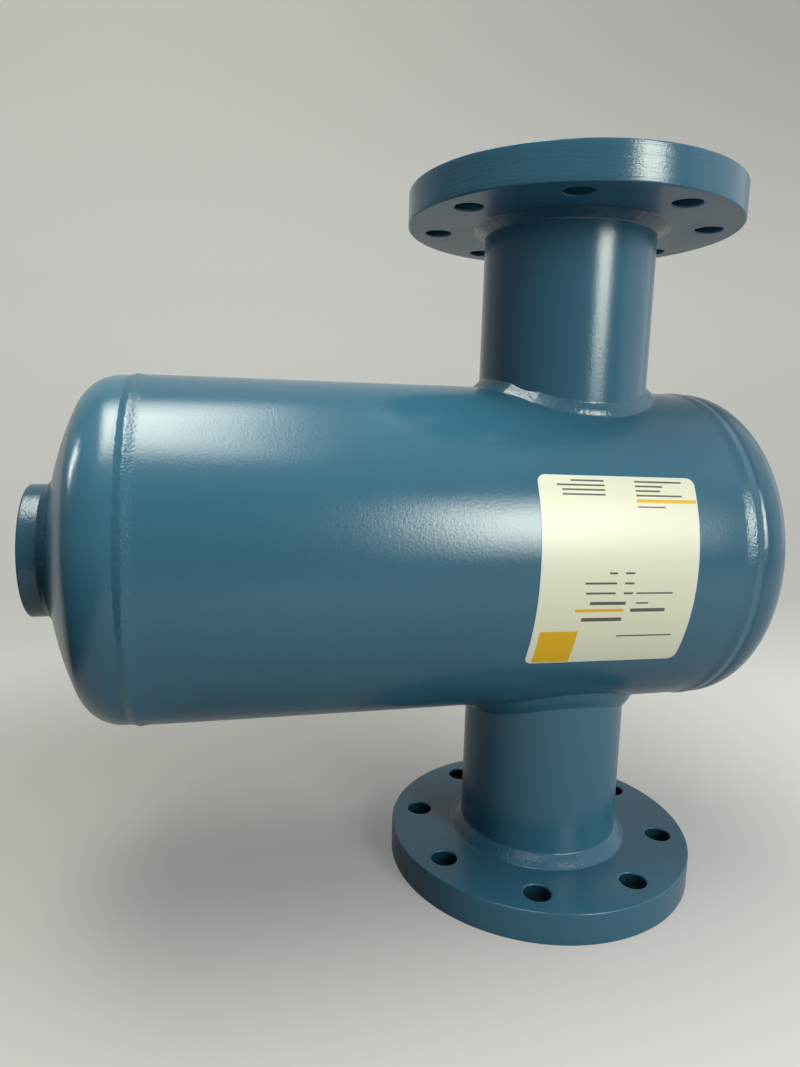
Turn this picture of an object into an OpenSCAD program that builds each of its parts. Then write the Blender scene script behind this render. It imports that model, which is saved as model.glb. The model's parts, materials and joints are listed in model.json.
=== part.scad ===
// Dirt separator for a heating or cooling main, with flanged nozzles.
// A welded steel vessel lies across the pipe run. Water enters one nozzle, passes
// a bundle of wound elements that slows and turns it, and leaves by the other, and
// the dirt settles in the long end, where the drain socket empties it.
// Millimetres. The run goes up +Z through both nozzles, the vessel lies along X
// with its drain towards -X, and the origin is the centre of the lower flange's face.

/* [Pipe run] */
// Distance between the faces of the two flanges
face_to_face = 475; // [395:1:570]
// Outer diameter of the nozzle pipes
pipe_od = 114.3; // [95:0.1:138]
// Wall of the nozzle pipes
pipe_wall = 3.6; // [2.9:0.1:6.3]

/* [Flanges] */
// Thickness of a flange
flange_t = 22; // [16:1:30]
// Diameter of the circle that the bolt holes lie on
bolt_circle_d = 180; // [165:1:216]
// From the bolt circle to the rim of a flange
rim_margin = 20; // [16:0.5:28]
// Number of bolt holes, which straddle the vessel's axis
bolt_count = 8; // [4:4:12]
// Diameter of a bolt hole
bolt_hole_d = 18; // [14:1:22]
// Chamfer on the rim of a flange
rim_chamfer = 1; // [0.5:0.1:2]
// Play between a nozzle pipe and the flange that it slips into
slip_play = 0.85; // [0.5:0.05:1.5]
// Depth from a flange's face to the end of its pipe, which the face weld fills
pipe_setback = 5.5; // [4:0.5:8]

/* [Vessel] */
// Outer diameter of the barrel and the dished heads
vessel_od = 219.1; // [182:0.1:263]
// Wall of the barrel and the heads
vessel_wall = 6.3; // [5:0.1:8]
// From the nozzles' axis to the seam of the drain head
dirt_side = 281; // [235:1:340]
// From the nozzles' axis to the seam of the plain head
top_side = 84.5; // [82:0.5:105]
// Straight length of a head beyond its seam
head_skirt = 8; // [6:0.5:25]
// Crown radius of a head, as a share of its diameter
crown_ratio = 1; // [0.8:0.05:1]
// Knuckle radius of a head, as a share of its diameter
knuckle_ratio = 0.12; // [0.08:0.01:0.15]

/* [Drain] */
// Minor diameter of the drain socket's thread, G 2 1/2
socket_bore = 72.2; // [60:0.1:87]
// Wall of the drain socket outside its thread
socket_wall = 4.9; // [4:0.1:7]
// Chamfer that leads into the thread at the drain socket's mouth
socket_lead = 1.5; // [1:0.1:2]
// Chamfer on the outer edge of the drain socket's mouth
socket_edge = 1; // [0.5:0.1:1.5]
// Length of the drain socket
socket_l = 24; // [20:0.5:40]
// How far the drain socket stands out beyond the head's crown
socket_rise = 12; // [8:0.5:25]

/* [Welds] */
// Root gap of the butt seams between barrel and heads
seam_gap = 2; // [1:0.5:3]
// Bevel angle of each plate edge at the butt seams
seam_bevel = 25; // [20:1:35]
// Height of the cap of a butt seam above the plate
seam_cap = 0.8; // [0.5:0.1:2.5]
// How far the cap of a butt seam laps onto the plate on each side
seam_lap = 1; // [0.2:0.1:1.5]
// Leg of the fillet behind each flange
hub_leg = 7.5; // [5:0.5:10]
// Leg of the fillet where the upper nozzle sits on the barrel
upper_saddle_leg = 6.5; // [5:0.5:10]
// Leg of the fillet where the lower nozzle sits on the barrel
lower_saddle_leg = 8.5; // [5:0.5:10]
// Leg of the fillet round the drain socket
socket_leg = 6.5; // [5:0.5:10]
// How far the face of a fillet bulges beyond a flat one
fillet_bulge = 0.8; // [0.3:0.1:1.5]

/* [Separator insert] */
// Diameter of the bar in the middle of each element
bar_d = 12; // [10:1:14]
// Thickness of the strip that is wound round each bar
strip_t = 1.5; // [1:0.1:3]
// Advance of a strip in one turn
strip_pitch = 40; // [33:1:48]
// Gap between neighbouring elements, and between them and the barrel
element_gap = 2; // [1:0.5:5]
// From the nozzles' axis to the carrier plate at the dirt end
insert_reach = 120; // [100:1:144]
// Space between the other carrier plate and the plain head's seam
carrier_inset = 9; // [5:0.5:12]
// Thickness of a carrier plate
carrier_t = 3; // [2:0.5:4]
// Metal between neighbouring water holes in a carrier plate
carrier_web = 12; // [8:0.5:15]
// How far each bar stands out beyond its carrier plates
bar_end = 4; // [2:0.5:6]

/* [Label] */
// Length of the label along the vessel
label_l = 101; // [80:1:110]
// Angle that the label wraps round the barrel
label_wrap = 62; // [50:1:76]
// Radius of the label's corners
label_corner = 5; // [2:0.5:8]
// Offset of the label's middle from the nozzles' axis, along the vessel
label_shift = -6; // [-10:0.5:2]
// Thickness of the label
label_t = 0.3; // [0.2:0.1:0.5]

/* [Hidden] */
$fn = 96;
// Segments of the large crown circles
crown_fn = 720;
elements = [for (i = [1 : 7]) str(i)];

enamel = [0.20, 0.40, 0.50];
seam_enamel = [0.24, 0.44, 0.54];
bare_steel = [0.62, 0.63, 0.64];
label_white = [0.94, 0.93, 0.88];

pipe_r = pipe_od / 2;
pipe_bore_r = pipe_r - pipe_wall;
flange_bore_r = pipe_r + slip_play;
vessel_r = vessel_od / 2;
vessel_bore_r = vessel_r - vessel_wall;
vessel_z = face_to_face / 2;
half_run = face_to_face / 2;
bolt_step = 360 / bolt_count;
flange_r = bolt_circle_d / 2 + rim_margin;
socket_r = socket_bore / 2 + socket_wall;

crown_r = vessel_od * crown_ratio;
knuckle_r = vessel_od * knuckle_ratio;
// Rise of a dished head above its tangent line
dish = crown_r - sqrt(pow(crown_r - knuckle_r, 2) - pow(vessel_r - knuckle_r, 2));
drain_crown_x = -(dirt_side + head_skirt + dish);
socket_mouth_x = drain_crown_x - socket_rise;

// Half widths of a butt seam's groove at the inner and outer faces of the plate
groove_in = seam_gap / 2;
groove_out = groove_in + vessel_wall * tan(seam_bevel);

// Seven elements lie side by side, one in the middle and six round it, and fill the barrel
element_r = (vessel_bore_r - 2 * element_gap) / 3;
ring_r = 2 * element_r + element_gap;
bar_r = bar_d / 2;
insert_top = top_side - carrier_inset;
strip_steps = 24;
element_places = concat([[0, 0]], [for (i = [0 : 5]) ring_r * [cos(60 * i), sin(60 * i)]]);

// Puts a child that is drawn up +Z on the vessel's axis, with its +Z along +X
module along_vessel() translate([0, 0, vessel_z]) rotate([0, 90, 0]) children();

// Puts a child that is drawn up +Z from the vessel's axis on the upper or lower nozzle
module on_nozzle(upper) translate([0, 0, vessel_z]) mirror([0, 0, upper ? 0 : 1]) children();

// Faces of a swept body: rings of the same number of points, joined in order.
// A closed body's last ring joins its first, and an open one gets a face at each end.
function sweep_faces(rings, sides, closed) = concat(
    [for (i = [0 : rings - (closed ? 1 : 2)], j = [0 : sides - 1], half = [0, 1])
        let (k = (i + 1) % rings, n = (j + 1) % sides)
        half == 0 ? [i * sides + j, k * sides + n, i * sides + n]
                  : [i * sides + j, k * sides + j, k * sides + n]],
    closed ? [] : [[for (j = [0 : sides - 1]) j],
                   [for (j = [sides - 1 : -1 : 0]) (rings - 1) * sides + j]]
);

// Half outline of a dished head that is filled to its axis, from its seam at y = 0
// to its crown. The crown and knuckle arcs are sectors that meet where they are tangent.
module dished_outline(inset) {
    knuckle = [vessel_r - knuckle_r, head_skirt];
    crown = [0, head_skirt + dish - crown_r];
    reach = (knuckle - crown) * 2 * crown_r / (crown_r - knuckle_r);
    intersection() {
        translate(crown) circle(crown_r - inset, $fn = crown_fn);
        polygon([[0, 0], knuckle, crown + reach, [0, crown[1] + 2 * crown_r]]);
    }
    intersection() {
        translate(knuckle) circle(knuckle_r - inset);
        polygon([knuckle, [2 * vessel_r, head_skirt], crown + reach]);
    }
    polygon([[0, 0], [vessel_r - inset, 0], [vessel_r - inset, head_skirt], knuckle]);
}

// Wall of a dished head, with its edge bevelled for the butt seam
module head_wall() rotate_extrude() difference() {
    dished_outline(0);
    dished_outline(vessel_wall);
    polygon([[0, -1], [vessel_bore_r, -1], [vessel_bore_r, groove_in],
             [vessel_r, groove_out], [vessel_r + 1, groove_out], [vessel_r + 1, -1]]);
}

// Weld metal of a butt seam: it fills the groove and stands above the plate as a low arc
module seam() rotate_extrude() {
    cap = groove_out + seam_lap;
    arc_r = (cap * cap + seam_cap * seam_cap) / (2 * seam_cap);
    polygon([[vessel_bore_r, -groove_in], [vessel_r, -groove_out],
             [vessel_r, groove_out], [vessel_bore_r, groove_in]]);
    intersection() {
        translate([vessel_r + seam_cap - arc_r, 0]) circle(arc_r);
        translate([vessel_r, -cap]) square([2 * seam_cap, 2 * cap]);
    }
}

module barrel() color(enamel) difference() {
    along_vessel() rotate_extrude() polygon([
        [vessel_bore_r, groove_in - dirt_side], [vessel_r, groove_out - dirt_side],
        [vessel_r, top_side - groove_out], [vessel_bore_r, top_side - groove_in]]);
    cylinder(r = pipe_bore_r, h = face_to_face);
}

module drain_head() color(enamel) along_vessel() difference() {
    translate([0, 0, -dirt_side]) mirror([0, 0, 1]) head_wall();
    translate([0, 0, socket_mouth_x]) cylinder(r = socket_r, h = dish + socket_rise);
}

module plain_head() color(enamel) along_vessel() translate([0, 0, top_side]) head_wall();

module drain_head_seam() color(seam_enamel) along_vessel() translate([0, 0, -dirt_side]) seam();

module plain_head_seam() color(seam_enamel) along_vessel() translate([0, 0, top_side]) seam();

// Nozzle pipe: its inner end is coped to sit on the barrel, its outer end stops short
// of the flange's face
module nozzle() color(enamel) difference() {
    cylinder(r = pipe_r, h = half_run - pipe_setback);
    translate([0, 0, -1]) cylinder(r = pipe_bore_r, h = half_run + 1);
    rotate([0, 90, 0]) cylinder(r = vessel_r, h = 2 * pipe_od, center = true);
}

// Fillet where a nozzle sits on the barrel. Its root follows the curve in which the two
// cylinders meet, and its section is swept round the nozzle: from the root along the
// barrel to one toe, then back over a bulging face to the toe on the pipe.
module saddle_weld(leg) {
    stations = 96;
    face_steps = 3;
    function on_barrel(r, a) = [r * cos(a), r * sin(a), sqrt(pow(vessel_r, 2) - pow(r * sin(a), 2))];
    function face_point(a, s) =
        let (pipe_toe = on_barrel(pipe_r, a) + [0, 0, leg], barrel_toe = on_barrel(pipe_r + leg, a))
        barrel_toe + s * (pipe_toe - barrel_toe)
            + fillet_bulge * sin(180 * s) * sqrt(0.5) * [cos(a), sin(a), 1];
    function section(a) = concat([on_barrel(pipe_r, a), on_barrel(pipe_r + leg / 2, a)],
                                 [for (j = [0 : face_steps]) face_point(a, j / face_steps)]);
    points = [for (i = [0 : stations - 1]) each section(360 * i / stations)];
    color(seam_enamel) polyhedron(points, sweep_faces(stations, face_steps + 3, true));
}

// Plate flange with its rim chamfered
module flange() color(enamel) difference() {
    translate([0, 0, half_run - flange_t]) rotate_extrude() polygon([
        [flange_bore_r, 0], [flange_r - rim_chamfer, 0], [flange_r, rim_chamfer],
        [flange_r, flange_t - rim_chamfer], [flange_r - rim_chamfer, flange_t],
        [flange_bore_r, flange_t]]);
    for (i = [0 : bolt_count - 1]) rotate(bolt_step * (i + 0.5))
        translate([bolt_circle_d / 2, 0, half_run - flange_t - 1])
            cylinder(d = bolt_hole_d, h = flange_t + 2);
}

// Section of a fillet in the corner at [r, 0], with a leg along each side and a low arc for its face
module fillet_section(r, leg) {
    chord = leg * sqrt(2);
    arc_r = (pow(chord / 2, 2) + pow(fillet_bulge, 2)) / (2 * fillet_bulge);
    polygon([[r, 0], [r + leg, 0], [r, leg]]);
    intersection() {
        translate([r + leg / 2, leg / 2] + (fillet_bulge - arc_r) * sqrt(0.5) * [1, 1]) circle(arc_r);
        polygon([[r, leg], [r + leg, 0], [r + leg, leg]]);
    }
}

// Fillet behind a flange, round its pipe
module hub_weld() color(seam_enamel) translate([0, 0, half_run - flange_t])
    mirror([0, 0, 1]) rotate_extrude() fillet_section(pipe_r, hub_leg);

// Fillet inside a flange's bore, over the end of its pipe
module face_weld() color(seam_enamel) translate([0, 0, half_run - pipe_setback])
    rotate_extrude() polygon([[pipe_bore_r, 0], [flange_bore_r, 0], [flange_bore_r, pipe_setback - 1]]);

module drain_socket() {
    bore = socket_bore / 2;
    color(enamel) along_vessel() translate([0, 0, socket_mouth_x]) rotate_extrude() polygon([
        [bore + socket_lead, 0], [socket_r - socket_edge, 0], [socket_r, socket_edge],
        [socket_r, socket_l], [bore, socket_l], [bore, socket_lead]]);
}

// Fillet round the drain socket, which sits on the crown of its head
module drain_socket_weld() {
    crown_y = crown_r - sqrt(pow(crown_r, 2) - pow(socket_r, 2));
    color(seam_enamel) along_vessel() translate([0, 0, drain_crown_x]) mirror([0, 0, 1])
        rotate_extrude() difference() {
            translate([0, -crown_y]) union() {
                fillet_section(socket_r, socket_leg);
                translate([socket_r, -socket_leg]) square(socket_leg);
            }
            translate([0, -crown_r]) circle(crown_r, $fn = crown_fn);
        }
}

// Label that wraps the front of the barrel
module label() color(label_white) {
    half_h = (vessel_r + label_t) * sin(label_wrap / 2);
    intersection() {
        along_vessel() difference() {
            cylinder(r = vessel_r + label_t, h = label_l * 2, center = true);
            cylinder(r = vessel_r, h = label_l * 3, center = true);
        }
        translate([label_shift, 0, vessel_z]) rotate([90, 0, 0]) linear_extrude(vessel_r * 2) union() {
            square([label_l - 2 * label_corner, 2 * half_h], center = true);
            square([label_l, 2 * (half_h - label_corner)], center = true);
            for (x = [-1, 1], y = [-1, 1])
                translate([x * (label_l / 2 - label_corner), y * (half_h - label_corner)])
                    circle(label_corner);
        }
    }
}

// Plate that carries the ends of all the bars. The water holes lie midway between each
// three bars, in two rings, so that each is as far from its neighbours as from the middle.
module carrier() color(bare_steel) difference() {
    midway = ring_r / sqrt(3);
    cylinder(r = vessel_bore_r, h = carrier_t);
    for (p = element_places) translate([p[0], p[1], -1]) cylinder(r = bar_r, h = carrier_t + 2);
    for (i = [0 : 5], ring = [1, 2]) rotate(60 * i + 30)
        translate([ring * midway, 0, -1]) cylinder(d = midway - carrier_web, h = carrier_t + 2);
}

module dirt_end_carrier() along_vessel() translate([0, 0, -insert_reach]) carrier();

module top_end_carrier() along_vessel() translate([0, 0, insert_top - carrier_t]) carrier();

module at_element(i) along_vessel() translate(element_places[i - 1]) children();

module element_bar(i) color(bare_steel) at_element(i) translate([0, 0, -insert_reach - bar_end])
    cylinder(r = bar_r, h = insert_reach + insert_top + 2 * bar_end);

// Strip wound on edge round its bar, from one carrier plate to the other
module element_strip(i) {
    start = carrier_t - insert_reach + strip_t / 2;
    length = insert_reach + insert_top - 2 * carrier_t - strip_t;
    turns = length / strip_pitch;
    steps = ceil(strip_steps * turns);
    points = [for (k = [0 : steps], p = [[bar_r, -1], [element_r, -1], [element_r, 1], [bar_r, 1]])
        let (a = 360 * turns * k / steps)
        [p[0] * cos(a), p[0] * sin(a), start + length * k / steps + p[1] * strip_t / 2]];
    color(bare_steel) at_element(i) polyhedron(points, sweep_faces(steps + 1, 4, false));
}

barrel();
drain_head();
plain_head();
drain_head_seam();
plain_head_seam();
on_nozzle(false) nozzle();  // lower_nozzle
on_nozzle(false) saddle_weld(lower_saddle_leg);  // lower_saddle_weld
on_nozzle(false) flange();  // lower_flange
on_nozzle(false) hub_weld();  // lower_hub_weld
on_nozzle(false) face_weld();  // lower_face_weld
on_nozzle(true) nozzle();  // upper_nozzle
on_nozzle(true) saddle_weld(upper_saddle_leg);  // upper_saddle_weld
on_nozzle(true) flange();  // upper_flange
on_nozzle(true) hub_weld();  // upper_hub_weld
on_nozzle(true) face_weld();  // upper_face_weld
drain_socket();
drain_socket_weld();
label();
dirt_end_carrier();
top_end_carrier();
for (i = [1 : 7]) {
    element_bar(i);
    element_strip(i);
}
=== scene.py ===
"""Finished surfaces of a flanged dirt separator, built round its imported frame.

The vessel lies along X on the pipe run, which goes up Z, and the drain is at its low X end.
Every new piece is one closed surface that is worked out with numpy from the sizes of the
frame's own nodes. Lengths are in metres and angles in radians. Run as a script, the add-on
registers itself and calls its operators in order.
"""

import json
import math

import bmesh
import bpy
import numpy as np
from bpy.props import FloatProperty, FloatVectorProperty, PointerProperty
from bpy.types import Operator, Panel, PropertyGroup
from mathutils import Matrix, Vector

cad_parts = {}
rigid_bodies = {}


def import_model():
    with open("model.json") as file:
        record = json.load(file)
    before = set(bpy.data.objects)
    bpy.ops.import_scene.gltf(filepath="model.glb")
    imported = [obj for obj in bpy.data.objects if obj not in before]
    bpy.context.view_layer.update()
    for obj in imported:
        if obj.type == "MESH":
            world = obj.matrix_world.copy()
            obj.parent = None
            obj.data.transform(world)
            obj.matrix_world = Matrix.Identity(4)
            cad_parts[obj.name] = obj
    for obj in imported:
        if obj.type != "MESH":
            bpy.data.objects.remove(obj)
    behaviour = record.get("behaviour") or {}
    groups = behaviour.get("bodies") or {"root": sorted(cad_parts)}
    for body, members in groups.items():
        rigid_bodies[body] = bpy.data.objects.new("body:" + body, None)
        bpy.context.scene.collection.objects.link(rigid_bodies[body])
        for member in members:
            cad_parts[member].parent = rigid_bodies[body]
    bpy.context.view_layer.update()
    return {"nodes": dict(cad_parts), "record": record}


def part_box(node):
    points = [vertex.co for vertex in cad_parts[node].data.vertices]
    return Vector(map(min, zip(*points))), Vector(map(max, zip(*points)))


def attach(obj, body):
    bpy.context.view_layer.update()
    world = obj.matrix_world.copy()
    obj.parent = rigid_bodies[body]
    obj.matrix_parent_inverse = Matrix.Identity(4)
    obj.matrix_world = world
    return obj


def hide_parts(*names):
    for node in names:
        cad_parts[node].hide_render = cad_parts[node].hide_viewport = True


bl_info = {
    "name": "Dirt Separator Finish",
    "version": (1, 0, 0),
    "blender": (4, 5, 0),
    "location": "View3D > Sidebar > Separator",
    "description": "Enamelled plates, rippled welds, thread, label and stage of a welded dirt separator",
    "category": "Add Mesh",
}

for leftover in list(bpy.data.objects):
    bpy.data.objects.remove(leftover)
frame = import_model()

MM = 0.001
FULL = 2 * math.pi
X_AXIS, Z_AXIS = 0, 2
MERGED = 0.002 * MM     # points nearer than this are one
SHARP = math.radians(40)


# ---------------------------------------------------------------- sizes of the frame

def reach(node, axis, height=0.0):
    """Least and greatest distance of a node's points from the line along axis at that height."""
    mesh = frame["nodes"][node].data
    points = np.empty(len(mesh.vertices) * 3, np.float32)
    mesh.vertices.foreach_get("co", points)
    points = points.reshape(-1, 3) - (0, 0, height)
    across = np.delete(points, axis, axis=1)
    distance = np.hypot(across[:, 0], across[:, 1])
    return float(distance.min()), float(distance.max())


def span(node, axis):
    """Lowest and highest place of a node along an axis."""
    low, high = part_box(node)
    return low[axis], high[axis]


BOLTS = next(m["dims"] for m in frame["record"]["mounts"] if m["name"] == "upper_flange_bolts")
BOLT_COUNT = int(BOLTS["count"])
BOLT_CIRCLE = BOLTS["pcd_mm"] / 2 * MM
BOLT_HOLE = BOLTS["hole_r_mm"] * MM

FLANGE_UNDER, RUN_TOP = span("upper_flange", Z_AXIS)
AXIS_Z = RUN_TOP / 2
FLANGE_BORE, FLANGE_R = reach("upper_flange", Z_AXIS)
PIPE_BORE, PIPE_R = reach("upper_nozzle", Z_AXIS)
PIPE_END = span("upper_nozzle", Z_AXIS)[1]
BARREL_BORE, BARREL_R = reach("barrel", X_AXIS, AXIS_Z)
SOCKET_BORE, SOCKET_R = reach("drain_socket", X_AXIS, AXIS_Z)
SOCKET_MOUTH, SOCKET_END = span("drain_socket", X_AXIS)
DRAIN_SEAM = sum(span("drain_head_seam", X_AXIS)) / 2
PLAIN_SEAM = sum(span("plain_head_seam", X_AXIS)) / 2
GROOVE = PLAIN_SEAM - span("barrel", X_AXIS)[1]
HEAD_RISE = span("plain_head", X_AXIS)[1] - PLAIN_SEAM
WALL = BARREL_R - BARREL_BORE
ELEMENTS = sum(name.startswith("element_bar_") for name in frame["nodes"])
DRAWN_IN = 0.85 * MM    # how far the drain head's edge lies inside the barrel's
ROOT = 1 * MM           # half the gap between the plates at a girth seam's root
LABEL_CORNER = 5 * MM


# ---------------------------------------------------------------- what a user may change

class SeparatorFinish(PropertyGroup):
    """Colours and gloss of the separator's finishes."""

    enamel: FloatVectorProperty(
        name="Enamel", description="Colour of the sprayed enamel",
        subtype="COLOR", min=0, max=1, default=(0.032, 0.125, 0.210))
    gloss: FloatProperty(
        name="Enamel Roughness", description="Roughness of the enamel, low for more gloss",
        min=0.05, max=0.8, default=0.2)
    peel: FloatProperty(
        name="Orange Peel", description="Height of the enamel's orange peel",
        unit="LENGTH", min=0, max=0.0005, default=0.00007, precision=6)
    steel: FloatVectorProperty(
        name="Machined Steel", description="Colour of the bare machined faces",
        subtype="COLOR", min=0, max=1, default=(0.46, 0.46, 0.45))
    mill: FloatVectorProperty(
        name="Mill Steel", description="Colour of the unpainted steel inside",
        subtype="COLOR", min=0, max=1, default=(0.115, 0.105, 0.098))
    film: FloatVectorProperty(
        name="Label Film", description="Colour of the label's film",
        subtype="COLOR", min=0, max=1, default=(0.76, 0.76, 0.63))
    amber: FloatVectorProperty(
        name="Label Amber", description="Colour of the label's coloured bands",
        subtype="COLOR", min=0, max=1, default=(0.74, 0.43, 0.0))
    ink: FloatVectorProperty(
        name="Label Ink", description="Colour of the label's grey rules",
        subtype="COLOR", min=0, max=1, default=(0.09, 0.09, 0.085))


class SeparatorShape(PropertyGroup):
    """Sizes that the frame doesn't hold: dish, rounded edges, weld ripples and thread."""

    crown: FloatProperty(
        name="Dish Share", description="Crown radius of a head, as a share of its diameter",
        min=0.8, max=1, default=1)
    knuckle: FloatProperty(
        name="Knuckle Share", description="Knuckle radius of a head, as a share of its diameter",
        min=0.08, max=0.15, default=0.12)
    edge: FloatProperty(
        name="Edge Radius", description="Radius of the painted edges of the flanges",
        unit="LENGTH", min=0.0003, max=0.002, default=0.001, precision=5)
    ripple_pitch: FloatProperty(
        name="Ripple Pitch", description="Spacing of the ripples along a weld",
        unit="LENGTH", min=0.001, max=0.004, default=0.0022, precision=5)
    ripple_height: FloatProperty(
        name="Ripple Height", description="Height of the ripples on a weld",
        unit="LENGTH", min=0, max=0.0005, default=0.00006, precision=6)
    thread_pitch: FloatProperty(
        name="Thread Pitch", description="Pitch of the drain socket's thread",
        unit="LENGTH", min=0.001, max=0.003, default=0.002309, precision=6)
    thread_depth: FloatProperty(
        name="Thread Depth", description="Depth of the drain socket's thread",
        unit="LENGTH", min=0.0005, max=0.002, default=0.001479, precision=6)
    label_turn: FloatProperty(
        name="Label Turn", description="How far the label is stuck on askew, clockwise",
        subtype="ANGLE", default=math.radians(1.1))
    strip_pitch: FloatProperty(
        name="Strip Pitch", description="Advance of a separating strip in one turn",
        unit="LENGTH", min=0.033, max=0.048, default=0.040)
    strip_edge: FloatProperty(
        name="Strip Edge", description="Radius of a separating strip's edges",
        unit="LENGTH", min=0.0001, max=0.0007, default=0.0004, precision=5)


class SeparatorStage(PropertyGroup):
    """Camera, floor and the light round the separator."""

    camera_place: FloatVectorProperty(
        name="Camera", description="Where the camera stands",
        subtype="TRANSLATION", default=(-0.22937, -0.49293, 0.32373))
    camera_turn: FloatProperty(
        name="Camera Turn", description="How far the camera turns from +Y towards +X",
        subtype="ANGLE", default=math.radians(13.284))
    camera_tilt: FloatProperty(
        name="Camera Tilt", description="How far the camera looks up",
        subtype="ANGLE", default=math.radians(-8.711))
    camera_roll: FloatProperty(
        name="Camera Roll", description="How far the camera rolls anticlockwise",
        subtype="ANGLE", default=math.radians(1.567))
    camera_lens: FloatProperty(
        name="Lens", description="Focal length for a sensor 36 mm along its longer side",
        min=10, max=100, default=25.103)
    floor: FloatVectorProperty(
        name="Floor", description="Colour of the floor and the backdrop",
        subtype="COLOR", min=0, max=1, default=(0.22, 0.216, 0.211))
    floor_glow: FloatProperty(
        name="Floor Glow", description="How pale the floor and backdrop show besides their light",
        min=0, max=1, default=0.56)
    dim_glow: FloatProperty(
        name="Dim Glow", description="How pale the room at the left and in front shows in gloss",
        min=0, max=1, default=0.20)
    front_light: FloatProperty(
        name="Front Light", description="Brightness of the light at the front right",
        min=0, max=100, default=18.0)
    top_light: FloatProperty(
        name="Top Light", description="Brightness of the light overhead",
        min=0, max=100, default=13.5)
    left_light: FloatProperty(
        name="Left Light", description="Brightness of the small window at the left",
        min=0, max=100, default=22.0)
    side_light: FloatProperty(
        name="Side Light", description="Brightness of the wide light at the right",
        min=0, max=100, default=0.6)
    room_light: FloatProperty(
        name="Room Light", description="Brightness of the room all round",
        min=0, max=10, default=0.07)


def finish():
    """The scene's finishes."""
    return bpy.context.scene.separator_finish


def shape():
    """The scene's sizes that the frame doesn't hold."""
    return bpy.context.scene.separator_shape


def stage():
    """The scene's camera, floor and light values."""
    return bpy.context.scene.separator_stage


# ---------------------------------------------------------------- surfaces

def turns(count):
    """Angles of a whole turn in count equal steps, without the last one again."""
    return np.arange(count) * FULL / count


def about_run(radius, height, turn):
    """Points at a radius from the pipe run's axis: x and y are the radius times the turn's
    cosine and sine."""
    radius, height, turn = np.broadcast_arrays(radius, height, turn)
    return np.stack([radius * np.cos(turn), radius * np.sin(turn), height], -1)


def about_vessel(radius, along, turn):
    """Points at a radius from the vessel's axis, with the turn counted from the top towards
    the front: y is minus the radius times its sine, z the axis plus the radius times its
    cosine."""
    radius, along, turn = np.broadcast_arrays(radius, along, turn)
    return np.stack([along, -radius * np.sin(turn), AXIS_Z + radius * np.cos(turn)], -1)


def other_way_up(points):
    """The points mirrored in the vessel's axis, from the upper half of the run to the lower."""
    return points * (1, 1, -1) + (0, 0, RUN_TOP)


def wander(turn, seed, low=1, high=14):
    """A smooth closed random curve between -1 and 1 over a turn: a sum of cosines of whole
    orders from low to high, each with a random phase and a weight over its order's root. It
    is divided by the most that it comes to at any of 1440 even turns."""
    rng = np.random.default_rng(seed)
    order = np.arange(low, high + 1)[:, None]
    phase = rng.uniform(0, FULL, order.shape)
    weight = rng.normal(size=order.shape) / np.sqrt(order)
    fine = turns(1440)
    most = np.abs((weight * np.cos(order * fine + phase)).sum(0)).max()
    level = (weight * np.cos(order * np.ravel(turn) + phase)).sum(0) / most
    return level.reshape(np.shape(turn))


def bell(turn, middle, width):
    """Bell curve of the turn's distance from its middle, in widths, round the circle."""
    away = (turn - middle + FULL / 2) % FULL - FULL / 2
    return np.exp(-(away / width) ** 2)


def grid(points, close_rows=False, close_columns=False, coat=0):
    """A patch of four-sided faces between neighbours of a grid of points, with rows first.
    coat is the place of its material, for the patch or for each row of faces."""
    rows, columns = points.shape[:2]
    low = np.arange(rows if close_rows else rows - 1)[:, None]
    left = np.arange(columns if close_columns else columns - 1)[None, :]
    high, right = (low + 1) % rows, (left + 1) % columns
    corners = np.stack(np.broadcast_arrays(
        low * columns + left, low * columns + right,
        high * columns + right, high * columns + left), -1)
    coats = np.broadcast_to(np.reshape(coat, (-1, 1)), corners.shape[:2])
    return points.reshape(-1, 3), corners.reshape(-1, 4), coats.ravel()


def rings(inner, outer, count, ease=1.0):
    """Loops between an inner and an outer loop of points: loop k is the share k / count, to
    the power of ease, of the way between them."""
    share = (np.arange(count + 1) / count)[:, None, None] ** ease
    return inner + share * (outer - inner)


def curve(start, control, end, t):
    """Quadratic curve: the start, control and end points weighted (1 - t) squared,
    2 t (1 - t) and t squared, for each share t of the way."""
    return (1 - t) ** 2 * start + 2 * t * (1 - t) * control + t ** 2 * end


def pairs(first, second, turn):
    """Two measures, each one number or one for each turn, as a point for each turn."""
    return np.stack(np.broadcast_arrays(first, second, turn)[:2], -1)


def soft_path(corners, cuts, steps):
    """Rows of loops along a path through corners, which are loops of points in a plane. Each
    corner is cut back along both sides by its cut and joined by a quadratic curve, and each
    straight stretch is split into its own number of steps."""
    share = np.linspace(0, 1, 4)[:, None, None]
    rows, last = [], corners[0]
    for k in range(1, len(corners)):
        here = corners[k]
        back = here - last
        back = back / np.linalg.norm(back, axis=-1, keepdims=True)
        start = here - cuts[k] * back
        even = np.linspace(0, 1, steps[k - 1] + 1)[:, None, None]
        rows.append((last + even * (start - last))[:-1])
        if k == len(corners) - 1:
            rows.append(here[None])
            break
        on = corners[k + 1] - here
        end = here + cuts[k] * on / np.linalg.norm(on, axis=-1, keepdims=True)
        rows.append(curve(start, here, end, share)[:-1])
        last = end
    return np.concatenate(rows)


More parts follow.
